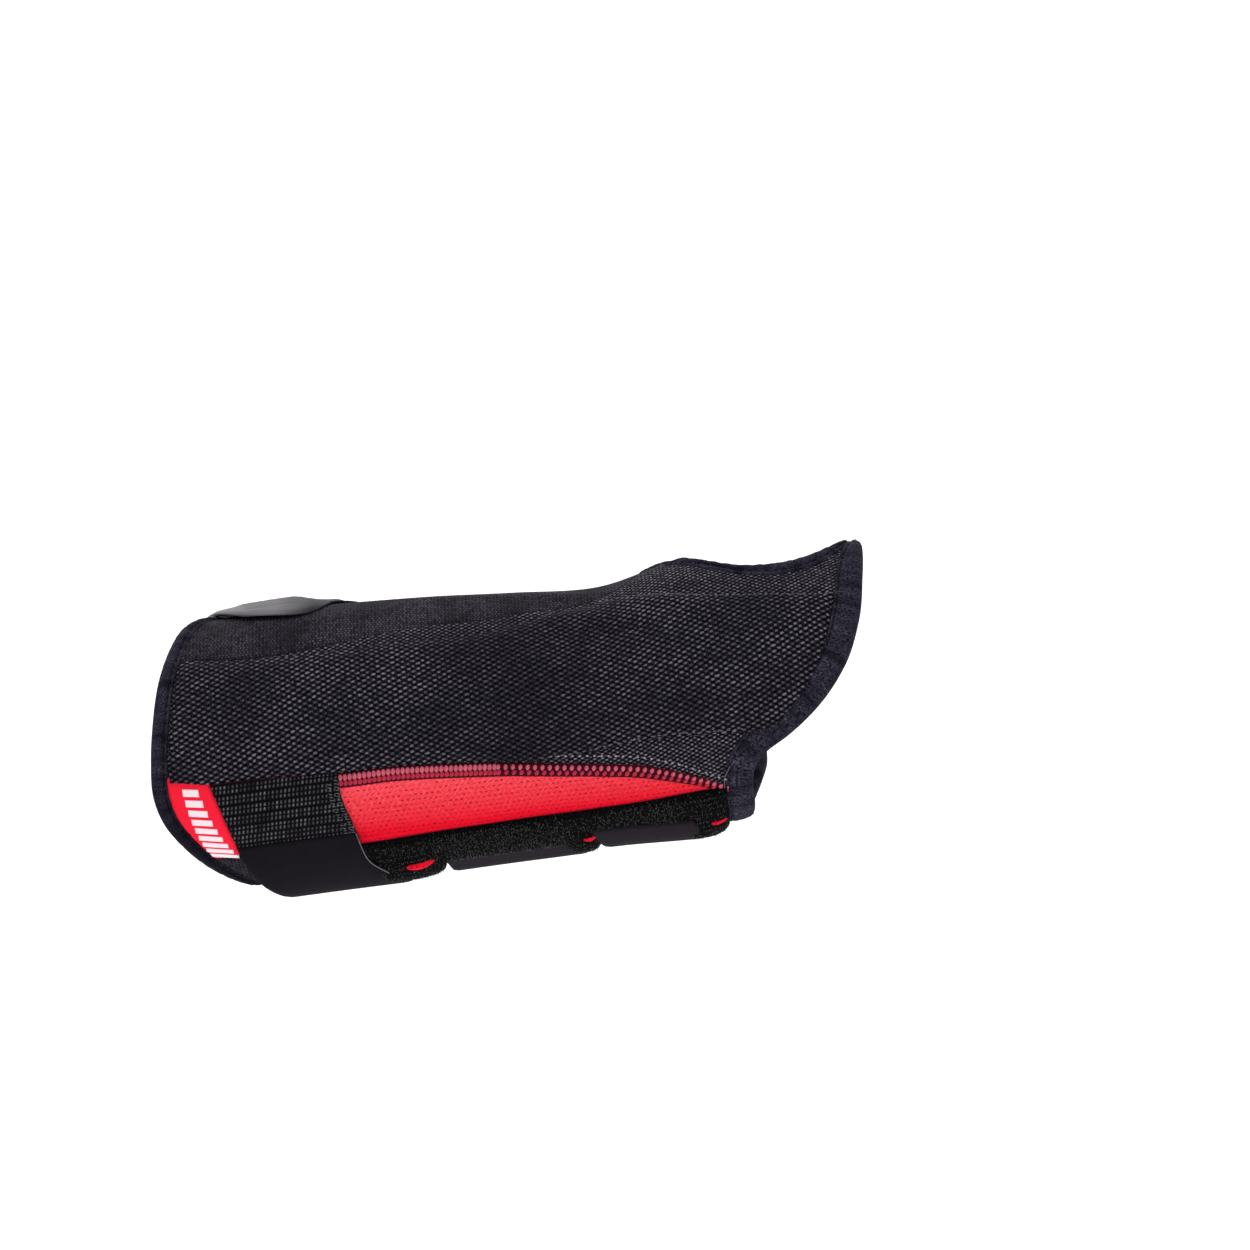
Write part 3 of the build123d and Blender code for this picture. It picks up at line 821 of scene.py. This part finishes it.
def thumb_tape():
    """The tape round the thumb hole, narrower on the web between thumb and first finger."""
    t = np.linspace(0, 2 * math.pi, 140, endpoint=False)
    c, s = cos_sin(HOLE["tilt"])
    x = HOLE["x"] + HOLE["rx"] * np.cos(t) * c - HOLE["ry"] * np.sin(t) * s
    y = HOLE["y"] + HOLE["ry"] * np.sin(t) * c + HOLE["rx"] * np.cos(t) * s
    angle = np.full_like(x, -90.0)
    for _ in range(8):
        cy, _, ry, _ = (curve(x) for curve in ARM_CURVES)
        reach = ry + 2.0 + relief(x, angle)
        angle = -np.degrees(np.arccos(np.clip((cy - y) / reach, -1, 1)))
    ring_x, ring_angle = (np.concatenate((v[-1:], v, v[:1])) for v in (x, angle))
    dx, da = edge_steps(ring_x, ring_angle, x.mean(), -90.0)
    dx, da = -dx[1:-1], -da[1:-1]
    width = 5.0 - 2.0 * bump(t, 0, 0.55) - 2.0 * bump(t, 2 * math.pi, 0.55) + 1.2 * bump(t, math.pi, 0.8)
    width = width - 1.6 * bump(t, 4.0, 0.5) + 6.5 * bump(t, math.pi - 0.2, 0.36)
    notch = 1 - 0.6 * bump(t, math.pi + 0.18, 0.06)
    section = np.array([tape_section(float(w)) for w in width])
    section[..., 1] *= notch[:, None]
    piece = sweep("thumb_tape", x, angle, dx, da, section, "tape", closed=True, wobble=0.12)
    dress(piece, "binding_tape", "thumb_binding", fill=0.7)
    seam = width - 1.0
    row = stitch_row(x + dx * seam, angle + da * seam, 3.42, 2.4)
    sew("thumb_tape_stitching", row, (0.85, 0.17, 0.14), "black_thread")


def palm_pocket():
    """The woven pocket over the palmar stay: raised, with a hem all round and the stay's soft bulge."""
    x, angle, u, v = grid(rim(FOREARM_RIM, 5.1), rim(PALM_RIM, -8.1), POCKET_HIGH, POCKET_LOW, 0.9)
    wide = (POCKET_LOW(x) - POCKET_HIGH(x)) * SLEEVE_DEGREE
    side = np.minimum(v, 1 - v) * wide
    end = np.minimum(u, 1 - u) * 178
    rise = step(0, 2.4, side) * step(0, 2.4, end)
    hem = bump(side, 2.0, 0.9) * step(1, 3, end) + bump(end, 2.0, 0.9) * step(1, 3, side)
    stay = bump(angle, -9, 15) * step(14, 30, x) * (1 - step(168, 180, x))
    high = 3.75 + 1.05 * rise - 0.22 * np.clip(hem, 0, 1) + 0.35 * stay
    keep = in_hole(x, angle, 5.2) > 1
    piece = cloth("palm_pocket", x, angle, SEWN_ON, high, "pocket", keep=keep)
    dress(piece, "woven_pocket", "palmar_stay_pocket", fill=0.5)


def seam_tall(x):
    """Height of the cover-stitch over the red panel, in degrees: it thins towards the palm."""
    return 6.4 - 2.4 * step(138, 160, x)


def side_seams():
    """Dotted hem rows on the pocket and the raised ladder of cover-stitch over the red panel."""
    along = np.linspace(109, 163, 120)
    low_hem = stitch_row(along, POCKET_LOW(along) - 1.6, 4.5, 1.9)
    along = np.linspace(128, 192, 120)
    high_hem = stitch_row(along, POCKET_HIGH(along) + 1.6, 4.65, 1.5)
    sew("pocket_hem_stitching", join_rows([low_hem, high_hem]), (0.42, 0.2, 0.2), "grey_thread")
    along = np.linspace(96, 157, 200)
    upper = stitch_row(along, ULNAR_SEAM(along) - 3.6 - 1.2 * step(100, 130, along), 3.9, 1.95)
    sew("seam_upper_row", upper, (0.36, 0.28, 0.2), "pale_thread")
    x, angle, _, _ = grid(54.5, 160.5, ULNAR_SEAM, lambda at: ULNAR_SEAM(at) + seam_tall(at), 0.8)
    dress(cloth("seam_tape", x, angle, SEWN_ON, 3.1, "maroon_thread"), "thread", "ulnar_stitching")
    sides = (("upper", 0.3, 84, "pink_thread"), ("lower", 0.7, 66, "rose_thread"))
    for k, (start, stop, pitch, half) in enumerate([(55, 96, 1.3, 0.66), (97, 159, 2.0, 0.58)]):
        for side, share, lean, look in sides:
            x = np.linspace(start, stop, 200)
            blocks = stitch_row(x, ULNAR_SEAM(x) + share * seam_tall(x), 3.15, pitch, turn=lean)
            long = (0.95, 0.8)[k] if side == "upper" else 0.75
            sew(f"seam_{side}_blocks_{k + 1}", blocks, (long, half, 0.32), look)
    at = np.linspace(6, 60, 90)
    piping = stitch_row(PALM_RIM(at) - 8.1, at, 3.4, 0.9)
    sew("palm_tape_piping", piping, (0.55, 0.16, 0.16), "edge_cord")


# ---------------------------------------------------------------- little-finger side
ELASTIC_START = smooth_line([(10, 19.3), (20, 20.6), (34, 22.8), (53, 25.2), (60, 26.0), (70, 26.6)])
ELASTIC_STOP = smooth_line([
    (10, 54.2), (24, 54.5), (34, 54.7), (43, 56), (54, 57.4), (60, 58.6), (70, 60),
])
BAND_STAND = 4.4
FIBRE_HALF = 0.045
# Lobes of the loop band beside each strap: first x, last x, height there, height of the plain band.
LOBES = [(56, 79.2, 7.2, 4.5), (112, 121.6, 6.3, 4.2), (143, 157.4, 5.6, 2.6)]
# Red slots above the lobes: middle x, half length, angle, how tall.
SLITS = [(72.3, 3.9, 76.8, 1.7), (119.0, 2.0, 75.3, 1.1), (154.2, 2.2, 73.6, 1.2)]


def band_shape(x):
    """The loop band's far edge, and how far it stands out there, at x."""
    low = 86.5 - 3.0 * step(120, 150, x)
    stand = BAND_STAND - 1.8 * step(155, 158.5, x)
    for first, last, tall, plain in LOBES:
        share = np.clip((x - first) / (last - first), 0, 1)
        inside = (x > first) & (x < last)
        fall = np.sqrt(np.clip(1 - np.clip((share - 0.55) / 0.45, 0, 1) ** 2, 0, 1))
        rise = np.sqrt(np.clip(1 - np.clip((0.42 - share) / 0.42, 0, 1) ** 2, 0, 1))
        low = np.where(inside, np.maximum(low, 84 + 30 * np.minimum(fall, rise)), low)
        stand = np.where(inside, plain + (tall - plain) * np.minimum(fall, step(0, 0.3, share)), stand)
    return low, stand


def band_low(x):
    return band_shape(x)[0]


def loop_band():
    x, angle, _, v = grid(56, rim(PALM_RIM, -7.4), BAND_TOP, band_low, 0.75)
    low_edge, stand = band_shape(x)
    wide = (low_edge - BAND_TOP(x)) * BAND_DEGREE
    side = np.minimum(v, 1 - v) * wide
    flat = 3.6 + 0.9 * step(0, 1.6, side)
    out = step(68, 86, angle)
    high = flat + out * (stand - BAND_STAND) + 0.6 * out * step(0, 2.5, (1 - v) * wide)
    high = high + 0.12 * np.sin(x * 2.1 + angle) * np.sin(angle * 1.7 - x * 0.6)
    low = np.maximum(high - 1.6, SEWN_ON)
    dress(cloth("loop_band", x, angle, low, high, "pile"), "loop_pile", "ulnar_loop_band", fill=0.3)
    fibres("loop_band_fibres", x, angle, high, 3500, "sleeve")
    edge = np.linspace(57, 160, 300)
    row = stitch_row(edge, BAND_TOP(edge) - 0.25, 3.15, 0.9)
    sew("band_edge_cord", row, (0.6, 0.16, 0.16), "black_thread")


def fibres(name, x, angle, height, count, body):
    """Short bent fibres standing in the loop cloth."""
    rows, cols = x.shape
    i, j = RANDOM.integers(1, rows - 1, count), RANDOM.integers(1, cols - 1, count)
    fx = x[i, j] + RANDOM.uniform(-0.5, 0.5, count)
    fa = angle[i, j] + RANDOM.uniform(-0.9, 0.9, count)
    h = np.broadcast_to(height, x.shape)[i, j]
    base = place(fx, fa, h - 0.1)
    lean_x, lean_a = RANDOM.uniform(-0.5, 0.5, count), RANDOM.uniform(-0.9, 0.9, count)
    middle = place(fx + lean_x * 0.4, fa + lean_a * 0.4, h + RANDOM.uniform(0.2, 0.4, count))
    tip = place(fx + lean_x, fa + lean_a, h + RANDOM.uniform(0.15, 0.5, count))
    side = np.cross(tip - base, RANDOM.normal(size=(count, 3)))
    side *= (FIBRE_HALF * MM / np.linalg.norm(side, axis=1))[:, None]
    third = np.cross(side, tip - base)
    third *= (FIBRE_HALF * MM / np.linalg.norm(third, axis=1))[:, None]
    corners = (base + side, base - side, base + third, middle + side, middle - side, middle + third, tip)
    points = np.stack(corners, 1).reshape(-1, 3)
    pattern = [(0, 1, 4, 3), (1, 2, 5, 4), (2, 0, 3, 5), (3, 4, 6), (4, 5, 6), (5, 3, 6), (2, 1, 0)]
    faces = [[v + 7 * k for v in f] for k in range(count) for f in pattern]
    uv = np.repeat(RANDOM.uniform(0, 60, (count, 2)), 7, axis=0)
    piece = new_piece(name, points, faces, LOOKS["grey_thread"], uv, smooth=False)
    dress(piece, "loop_pile", body=body)


def slits():
    """Narrow red crescents above the lobes, where the red mesh shows."""
    for k, (centre, half, at, tall) in enumerate(SLITS):
        x, angle, u, v = grid(centre - half, centre + half, at - 1.0, at + 1.0, 0.3)
        t = 2 * u - 1
        thin = np.sqrt(np.clip(1 - t * t, 0.01, 1))
        angle = at + (angle - at) * thin * tall - 0.7 * t + 1.2 * (1 - t * t)
        stand = band_shape(x)[1]
        out = step(68, 86, angle)
        high = 4.6 + out * (stand - BAND_STAND) + 0.6 * out + 0.25 * np.cos((v - 0.5) * math.pi)
        dress(cloth(f"red_slit_{k + 1}", x, angle, high - 0.8, high, "red"), "red_mesh")


def size_label():
    """The red label at the forearm edge with its ladder of plain white bars."""
    x, angle, _, _ = grid(rim(FOREARM_RIM, 4.4), ELASTIC_START, 15.5, 57, 1.0)
    dress(cloth("size_label", x, angle, SEWN_ON, 3.25, "label"), "red_mesh")
    x, angle, _, _ = grid(rim(FOREARM_RIM, 4.0), 40, 57, 112, 1.2)
    dress(cloth("cuff_patch", x, angle, SEWN_ON, 3.3, "knit"), "black_knit")
    for k in range(9):
        at = 22.8 + 4.95 * k - 0.1 * k * k
        middle = 15.3 + 0.5 * k + 0.03 * k * k
        half = 2.1 + 0.2 * k
        thick = 1.6 - 0.065 * k
        bx, ba, _, _ = grid(middle - half, middle + half, at - thick, at + thick, 0.5)
        ba = ba + (0.25 + 0.03 * k) * (bx - middle)
        bar = cloth(f"size_bar_{k + 1}", bx, ba, 3.26, 3.34, "white")
        dress(bar, "white_print", *(["sizing_bars"] if k == 0 else []))


def elastic_panel():
    """The ribbed elastic that the forearm strap starts with, and its overlocked far edge."""
    x, angle, u, _ = grid(ELASTIC_START, ELASTIC_STOP, lambda at: POCKET_LOW(at) + 0.4, 55, 0.7)
    row = np.abs((girth(angle) / ELASTIC_ROW) % 1.0 - 0.5) * 2
    high = 3.7 + 0.35 * np.cos(row * math.pi) ** 2 + 0.25 * step(0, 0.06, u) * step(0, 0.06, 1 - u)
    panel = cloth("elastic", x, angle, SEWN_ON, high, "elastic")
    dress(panel, "ribbed_elastic", "proximal_elastic", fill=0.3)
    at = np.linspace(25, 52, 80)
    rows = [stitch_row(ELASTIC_STOP(at) - 1.6 * s, at, 4.15, 0.9, turn=70) for s in (0.4, 1.6)]
    sew("elastic_edge_stitching", join_rows(rows), (0.6, 0.14, 0.12), "grey_thread")


# ---------------------------------------------------------------- straps
# Each strap's two edges (x against angle), the height of its inner face, and its angles.
STRAPS = {
    "proximal": dict(
        near=[
            (50, 24.8), (57, 25.8), (74, 29.0), (94, 34.2), (118, 36.2), (150, 33), (207, 26),
            (262, 18.8), (300, 19.4),
        ],
        far=[
            (50, 56.7), (57, 57.4), (69, 59.2), (80, 63.5), (94, 68), (118, 68.5), (207, 63),
            (262, 58.8), (300, 58.6),
        ],
        height=[
            (50, 3.1), (57, 3.8), (75, 5.4), (94, 7.0), (118, 7.0), (150, 6.2), (207, 6.0),
            (235, 5.0), (262, 4.1), (300, 3.4),
        ],
        root=51.0, end=262, tab_start=238, round_start=228, square=2.8, slant=0.5, tab_end=300,
    ),
    "middle": dict(
        near=[(82, 78.5), (94, 80), (118, 81), (207, 78.5), (262, 76.5)],
        far=[(82, 111), (94, 116), (118, 118), (207, 115.5), (262, 113.5)],
        height=[(82, 3.2), (90, 4.3), (97, 5.6), (118, 6.6), (150, 6.2), (300, 6.0)],
        root=82.0, end=231, tab_start=223, round_start=231, square=2.0, slant=0.0, tab_end=246,
    ),
    "distal": dict(
        near=[(70, 119.5), (94, 122.5), (118, 123), (207, 119), (262, 117)],
        far=[(70, 147), (80, 148.9), (94, 150), (118, 151), (207, 147), (262, 145)],
        height=[(66, 3.6), (80, 4.6), (94, 5.0), (118, 5.6), (150, 6.0), (300, 6.0)],
        root=70.0, end=225, tab_start=217, round_start=225, square=2.0, slant=0.0, tab_end=240,
    ),
}
SWING_ANGLE, PEEL_ANGLE, MIDDLE_ANGLE, BEND = 118, 207, 162, 5.0
STRAP_THICK, HOOK_THICK, TAB_THICK = 1.4, 0.85, 1.5
STRAP_WORN = 0.35


def sag(x, angle):
    """How far the forearm strap's end drops onto the cloth along its two edges."""
    near_edge = 0.9 * (1 - step(19, 33, x))
    far_edge = 2.2 * step(44, 58, x) * (1 - step(62, 70, x))
    return (near_edge + far_edge) * step(256, 274, angle)


def strap_sides(strap, angle):
    """The x of a strap's two long edges, drawn in to a rounded end."""
    near, far = smooth_line(strap["near"])(angle), smooth_line(strap["far"])(angle)
    along = np.clip((angle - strap["round_start"]) / (strap["tab_end"] - strap["round_start"]), 0, 1)
    middle, half = 0.5 * (near + far), 0.5 * (far - near)
    half = half * (1 - 0.985 * along**strap["square"]) ** (1 / strap["square"])
    return middle - half, middle + half


def strap_piece(name, strap, start, stop, look="strap", thick=STRAP_THICK, lift=0.0, inset=0.0):
    """A stretch of strap between two angles, with softly rounded long edges."""
    height = smooth_line(strap["height"])
    count = max(6, int(abs(stop - start) * STRAP_DEGREE / 1.1))
    angle = np.linspace(start, stop, count)[None, :]
    u = np.linspace(0, 1, 30)[:, None]
    left, right = strap_sides(strap, angle)
    left, right = left + inset, right - inset
    x = left + (right - left) * u
    angle = np.broadcast_to(angle, x.shape)
    side = np.minimum(u, 1 - u) * (right - left)
    base = height(angle) + lift - sag(x, angle)
    round_ = 0.3 * (1 - step(0, 1.4, side))
    piece = cloth(name, x, angle, base + round_, base + thick - round_, look, worn=STRAP_WORN)
    return piece, x, angle


def straps():
    for name, strap in STRAPS.items():
        lower, *_ = strap_piece(f"{name}_strap_cloth", strap, strap["root"], MIDDLE_ANGLE)
        upper, *_ = strap_piece(f"{name}_strap_grip", strap, MIDDLE_ANGLE, strap["end"])
        height, near, far = (smooth_line(strap[k]) for k in ("height", "near", "far"))
        for piece, fold, a, b, nodes in (
            (lower, SWING_ANGLE, "sleeve", f"{name}_strap_body", (f"{name}_strap_root", f"{name}_strap")),
            (upper, PEEL_ANGLE, f"{name}_strap_body", f"{name}_end_body", (f"{name}_strap_end",)),
        ):
            x = 0.5 * (near(fold) + far(fold))
            start, end = (place(x, fold + s * BEND, height(fold) + 0.7, 0) for s in (-1, 1))
            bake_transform(piece)
            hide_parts(*nodes)
        body = f"{name}_end_body"
        pad, px, pa = strap_piece(
            f"{name}_hooks", strap, PEEL_ANGLE + 4, strap["end"] - 1, "plastic",
            thick=HOOK_THICK - 0.45, lift=-HOOK_THICK + 0.4, inset=2.2,
        )
        dress(pad, "hook_plastic", f"{name}_hook_pad", body=body)
        hook_field(name, px, pa, body)
        pull_tab(name, strap, body)


def hook_field(name, x, angle, body):
    """Rows of tiny moulded hooks under the strap's end."""
    hx = np.arange(x.min() + 1.2, x.max() - 1.2, 1.25)
    ha = np.arange(angle.min() + 1.6, angle.max() - 1.6, 2.2)
    hx, ha = (v.ravel() for v in np.meshgrid(hx, ha))
    left, right = strap_sides(STRAPS[name], ha)
    inside = (hx > left + 3.2) & (hx < right - 3.2)
    hx, ha = hx[inside], ha[inside]
    height = smooth_line(STRAPS[name]["height"])(ha) - HOOK_THICK + 0.3 - sag(hx, ha)
    centres = place(hx, ha, height, STRAP_WORN)
    up = place(hx, ha, height + 1, STRAP_WORN) - centres
    over = np.tile((1.0, 0, 0), (len(hx), 1))
    hooks = stitches(f"{name}_hook_field", centres, up, over, (0.28, 0.16, 0.22), "plastic")
    dress(hooks, "hook_plastic", body=body)


def pull_tab(name, strap, body):
    """The moulded rubber tab: a rounded end, a rolled rim and a few plain grip ridges."""
    height = smooth_line(strap["height"])
    start, stop = strap["tab_start"], strap["tab_end"]
    angle = np.linspace(start, stop, 64)[None, :]
    u = np.linspace(-1, 1, 44)[:, None]
    left, right = strap_sides(strap, angle)
    middle, half = 0.5 * (left + right), 0.5 * (right - left) - 0.1
    x = middle + half * u
    angle = angle + strap["slant"] * (x - middle) * step(start, stop, angle)
    base = height(angle) + 0.9 - 0.5 * step(strap["end"], stop, angle) - sag(x, angle)
    side = np.minimum((1 - np.abs(u)) * half, np.linspace(stop - start, 0, 64)[None, :] * STRAP_DEGREE)
    rolled = np.sqrt(np.clip(side / 1.6, 0.02, 1))
    ridged = step(start + 12, start + 15, angle) * (1 - step(stop - 7, stop - 4, angle))
    ridged = ridged * (1 - step(0.45, 0.6, np.abs(u)))
    ridges = 0.28 * np.clip(np.sin((angle - start) * 1.35), 0, 1) * ridged
    half_thick = 0.5 * TAB_THICK
    high = base + half_thick + half_thick * rolled + ridges
    low = np.maximum(base + half_thick - half_thick * rolled, 3.2)
    high = np.maximum(high, low + 0.3)
    tab = cloth(f"{name}_tab", x, angle, low, high, "rubber", worn=STRAP_WORN)
    dress(tab, "tab_rubber", f"{name}_pull_tab", body=body)


def strap_edge_cord():
    """The thin pale edge of the forearm strap where it leaves the elastic."""
    far, height = smooth_line(STRAPS["proximal"]["far"]), smooth_line(STRAPS["proximal"]["height"])
    angle = np.linspace(52, 90, 60)
    row = stitch_row(far(angle) + 0.1, angle, height(angle) + 0.9, 0.8, worn=STRAP_WORN)
    sew("strap_edge_cord", row, (0.6, 0.2, 0.2), "edge_cord")


# ---------------------------------------------------------------- back of the hand
def back_pieces():
    """The loop landing on the thumb side and the stay pocket beside the gap."""
    start, stop, edge, length = 41, 152, 151.8, 110
    free = smooth_line([(38, -80), (58, -80), (66, -98), (74, -105), (118, -106), (128, -113), (152, -117)])
    x, angle, u, v = grid(start, stop, -edge, free, 0.7)
    side = np.minimum(v, 1 - v) * (edge + free(x)) * 0.53
    full = 0.4 + 1.1 * step(128, 135, -angle)
    high = 3.3 + full * step(0, 0.6, np.minimum(side, np.minimum(u, 1 - u) * length))
    keep = in_hole(x, angle, 5.6) > 1
    landing = cloth("loop_landing", x, angle, SEWN_ON, high, "pile", keep=keep)
    dress(landing, "loop_pile", "radial_loop_landing", fill=0.3)
    x, angle, u, v = grid(start, stop, 131, edge, 0.7)
    side = np.minimum(v, 1 - v) * 11
    high = 3.3 + 1.5 * step(0, 0.6, np.minimum(side, np.minimum(u, 1 - u) * length))
    pocket = cloth("back_stay_pocket", x, angle, SEWN_ON, high, "pocket")
    dress(pocket, "woven_pocket", "dorsal_ulnar_stay_pocket", fill=0.5)


def carried_parts():
    """The metal stays and their caps stay as the CAD made them."""
    for node, look in (("palmar_stay", "aluminium"), ("palmar_stay_caps", "plastic"),
                       ("dorsal_ulnar_stay", "steel"), ("dorsal_radial_stay", "steel")):
        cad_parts[node].data.materials.clear()
        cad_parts[node].data.materials.append(LOOKS[look])


# ---------------------------------------------------------------- studio
def camera():
    """Level with the arm's middle from a little below, 0.9 m away, leaned so the arm rises."""
    elevation, roll, distance = math.radians(-10), math.radians(7), 0.9
    forward = Vector((0, math.cos(elevation), -math.sin(elevation)))
    right = Vector((1, 0, 0))
    up = right.cross(forward)
    right, up = (right * math.cos(roll) - up * math.sin(roll), right * math.sin(roll) + up * math.cos(roll))
    data = bpy.data.cameras.new("camera")
    data.sensor_width, data.lens = 36, 94.25
    view = bpy.data.objects.new("camera", data)
    aim = Vector((0.13524, -0.0041, 0.0209))
    axes = Matrix((right, up, -forward)).transposed()
    view.matrix_world = Matrix.Translation(aim - forward * distance) @ axes.to_4x4()
    bpy.context.scene.collection.objects.link(view)
    bpy.context.scene.camera = view


def paper():
    """Pale studio paper, lit from within a little so that it reads white."""
    look = Look("pale_paper", roughness=0.9, Emission_Color=(1, 1, 1, 1), Emission_Strength=0.45)
    return look.finish((0.88, 0.88, 0.88))


def studio():
    """A pale floor and backdrop in one sheet, a bright surround and three soft lights."""
    profile = [(-3.0, -0.42), (1.2, -0.42)]
    for t in np.linspace(0.15, math.pi / 2, 12):
        profile.append((1.2 + 0.8 * math.sin(t), 0.38 - 0.8 * math.cos(t)))
    profile += [(2.0, 3.5)]
    points = [(side * 5, y, z) for side in (-1, 1) for y, z in profile]
    n = len(profile)
    faces = [(k, k + 1, k + 1 + n, k + n) for k in range(n - 1)]
    floor = new_piece("floor", points, faces, paper())
    world = bpy.data.worlds.new("studio")
    world.use_nodes = True
    world.node_tree.nodes["Background"].inputs["Color"].default_value = (1, 1, 1, 1)
    world.node_tree.nodes["Background"].inputs["Strength"].default_value = 0.5
    bpy.context.scene.world = world
    for name, spot, size, power in (
        ("key", (-0.15, -0.65, 1.3), 0.7, 15),
        ("fill", (0.9, -1.2, 0.3), 1.0, 3),
        ("rim", (0.0, 0.8, 1.2), 0.8, 8),
    ):
        data = bpy.data.lights.new(name, "AREA")
        data.size, data.energy = size, power
        lamp = bpy.data.objects.new(name, data)
        lamp.location = spot
        lamp.rotation_euler = (Vector((0.1, 0, 0)) - Vector(spot)).to_track_quat("-Z", "Y").to_euler()
        bpy.context.scene.collection.objects.link(lamp)


bpy.context.scene.view_settings.view_transform = "Standard"
camera()
studio()
sleeve_cloth()
tapes()
thumb_tape()
palm_pocket()
side_seams()
loop_band()
slits()
size_label()
elastic_panel()
straps()
strap_edge_cord()
back_pieces()
carried_parts()
